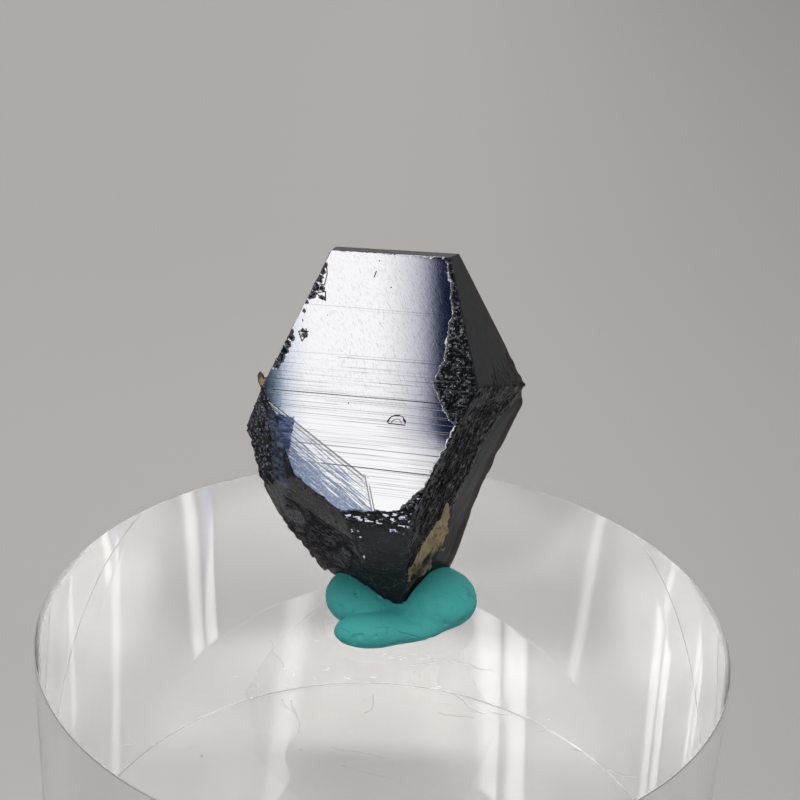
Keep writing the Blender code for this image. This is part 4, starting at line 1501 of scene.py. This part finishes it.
def studio_world():
    """Soft light from all sides, two strips and an overhead lamp, and one panel whose mirror image fills the
    bright face. The panel's place comes from mirroring the camera's axes in that face."""
    world = bpy.data.worlds.new("world")
    world.use_nodes = True
    t = Tree(world.node_tree)
    sight = t.node("TexCoord", out="Generated")
    x, y, z = t.parts(sight)
    bearing = t.maths("ARCTAN2", x, 0 - y) * math.degrees(1)
    height = t.maths("ARCSINE", z) * math.degrees(1)
    light = t.ramp(z, -0.2, 1.0, ROOM * 0.95, ROOM * 1.1)
    for middle, lean, half, strength in STRIPS:
        aside = bearing - (height - STRIP_LEVEL) * lean - middle
        strip = t.around(aside, half + STRIP_SOFT, half - STRIP_SOFT)
        light = light + strip * t.between(height, *STRIP_HEIGHTS, 2.0) * strength
    towards, start, full, strength = OVERHEAD
    light = light + t.ramp(t.dot(sight, tuple(Vector(towards).normalized())), start, full) * strength
    normal = HULL.normals[HULL.index(BRIGHT_FACE)]
    turn = np.array(camera_turn())
    mirrored = turn - 2 * np.outer(normal, normal @ turn)
    right, up, back = (t.dot(sight, tuple(mirrored[:, k])) for k in range(3))
    ahead = t.largest(0 - back, 0.05)
    u = right / ahead * FOCAL_PIXELS + PHOTO_SIZE / 2
    v = up / ahead * -FOCAL_PIXELS + PHOTO_SIZE / 2
    start, full, wider = PANEL_WIDER
    from_right = t.ramp(v, start, full, 0.0, wider) + PANEL_RIGHT - u
    panel = (PANEL_LIGHT,) * 3
    fades = (u - PANEL_LEFT, LEFT_FADE), (from_right, RIGHT_FADE), (PANEL_FOOT - v, FOOT_FADE)
    for inwards, (length, stops) in fades:
        panel = t.vector("MULTIPLY", panel, t.colours(inwards / length, stops))
    first, last, upper, lower, soft = PANEL_SURROUND
    shown = t.between(u, first, last, soft) * t.between(v, upper, lower, soft) * t.ramp(back, -0.3, -0.5)
    colour = t.mix(shown, t.joined(light, light, light), panel)
    background = world.node_tree.nodes["Background"]
    t.feed(background.inputs["Color"], colour)
    return world


# The add-on.

class SpecimenSettings(bpy.types.PropertyGroup):
    """Sizes and colours that a user may change."""

    floor_colour: FloatVectorProperty(
        name="Floor colour", description="Colour of the plain floor", subtype="COLOR",
        default=(0.503, 0.479, 0.461))
    tack_colour: FloatVectorProperty(
        name="Tack colour", description="Colour of the putty that holds the crystal", subtype="COLOR",
        default=(0.054, 0.425, 0.405))
    block_sides: IntProperty(
        name="Block sides", description="Number of flats the round block is drawn with", default=384, min=32)
    block_edge: FloatProperty(
        name="Block edge", description="Radius of the block's turned edge", default=0.09 * MM, unit="LENGTH")


class SPECIMEN_OT_crystal(bpy.types.Operator):
    """Builds the anatase crystal around its hull"""

    bl_idname = "specimen.crystal"
    bl_label = "Anatase crystal"

    def execute(self, context):
        finishes = [bright_finish(), smooth_finish("anatase_smooth", "upper_right", 1.28), broken_finish(),
                    fibrous_finish(), side_finish("anatase_left", "upper_left"),
                    side_finish("anatase_back", "upper_back"), smooth_finish("anatase_tip", "tip", 1.5),
                    ledge_finish()]
        chosen = {BRIGHT_FACE: 0, "upper_right": 1, "tip": 6, "lower_right": 3, "upper_left": 4,
                  "lower_left": 4, "upper_back": 5, "lower_back": 5}
        obj = crystal_mesh("crystal", finishes, lambda face: chosen.get(face, 2))
        settle(obj, "anatase", "anatase_crystal")
        return {"FINISHED"}


class SPECIMEN_OT_rock(bpy.types.Operator):
    """Builds the tan rock left on the crystal"""

    bl_idname = "specimen.rock"
    bl_label = "Tan rock"

    def execute(self, context):
        settle(rock_mesh("tan_rock", rock_finish()), "tan_rock", "matrix_remnant")
        return {"FINISHED"}


class SPECIMEN_OT_blade(bpy.types.Operator):
    """Builds the small clear blade on the left edge"""

    bl_idname = "specimen.blade"
    bl_label = "Side blade"

    def execute(self, context):
        settle(blade_mesh("blade", blade_finish()), "honey_blade", "side_blade")
        return {"FINISHED"}


class SPECIMEN_OT_tack(bpy.types.Operator):
    """Builds the lump of tack between the crystal and the block"""

    bl_idname = "specimen.tack"
    bl_label = "Tack"

    def execute(self, context):
        finish = tack_finish(tuple(context.scene.specimen.tack_colour))
        settle(tack_mesh("tack", finish), "green_tack", "mineral_tack")
        return {"FINISHED"}


class SPECIMEN_OT_block(bpy.types.Operator):
    """Builds the clear round block"""

    bl_idname = "specimen.block"
    bl_label = "Clear block"

    def execute(self, context):
        settings = context.scene.specimen
        obj = block_mesh("clear_block", acrylic_finishes(), settings.block_sides, settings.block_edge)
        obj.visible_shadow = False
        settle(obj, "clear_acrylic", "acrylic_block")
        return {"FINISHED"}


class SPECIMEN_OT_stage(bpy.types.Operator):
    """Builds the floor, the studio light and the camera"""

    bl_idname = "specimen.stage"
    bl_label = "Stage"

    def execute(self, context):
        scene = context.scene
        camera = bpy.data.cameras.new("camera")
        camera.sensor_width = SENSOR
        camera.lens = SENSOR * FOCAL_PIXELS / PHOTO_SIZE
        camera.clip_start = 1 * MM
        eye = bpy.data.objects.new("camera", camera)
        eye.matrix_world = Matrix.Translation(CAMERA_PLACE) @ camera_turn().to_4x4()
        scene.collection.objects.link(eye)
        scene.camera = eye
        corners = np.array([(-1, -1, 0), (1, -1, 0), (1, 1, 0), (-1, 1, 0)]) * FLOOR_HALF - (0, 0, FLOOR_GAP)
        finish = floor_finish(tuple(scene.specimen.floor_colour))
        build("floor", corners, [(0, 1, 2), (0, 2, 3)], [finish])
        scene.world = studio_world()
        scene.view_settings.view_transform = "Standard"
        return {"FINISHED"}


class SPECIMEN_PT_panel(bpy.types.Panel):
    """Lists the settings and the pieces in the sidebar"""

    bl_label = "Specimen"
    bl_idname = "SPECIMEN_PT_panel"
    bl_space_type = "VIEW_3D"
    bl_region_type = "UI"
    bl_category = "Specimen"

    def draw(self, context):
        settings = context.scene.specimen
        for name in settings.bl_rna.properties.keys():
            if name not in ("rna_type", "name"):
                self.layout.prop(settings, name)
        for item in PIECES:
            self.layout.operator(item.bl_idname)


PIECES = (SPECIMEN_OT_stage, SPECIMEN_OT_crystal, SPECIMEN_OT_rock, SPECIMEN_OT_blade, SPECIMEN_OT_tack,
          SPECIMEN_OT_block)
CLASSES = (SpecimenSettings, *PIECES, SPECIMEN_PT_panel)


def register():
    for item in CLASSES:
        bpy.utils.register_class(item)
    bpy.types.Scene.specimen = PointerProperty(type=SpecimenSettings)


def unregister():
    del bpy.types.Scene.specimen
    for item in reversed(CLASSES):
        bpy.utils.unregister_class(item)


def main():
    register()
    bpy.ops.specimen.stage()
    bpy.ops.specimen.crystal()
    bpy.ops.specimen.rock()
    bpy.ops.specimen.blade()
    bpy.ops.specimen.tack()
    bpy.ops.specimen.block()


if __name__ == "__main__":
    main()
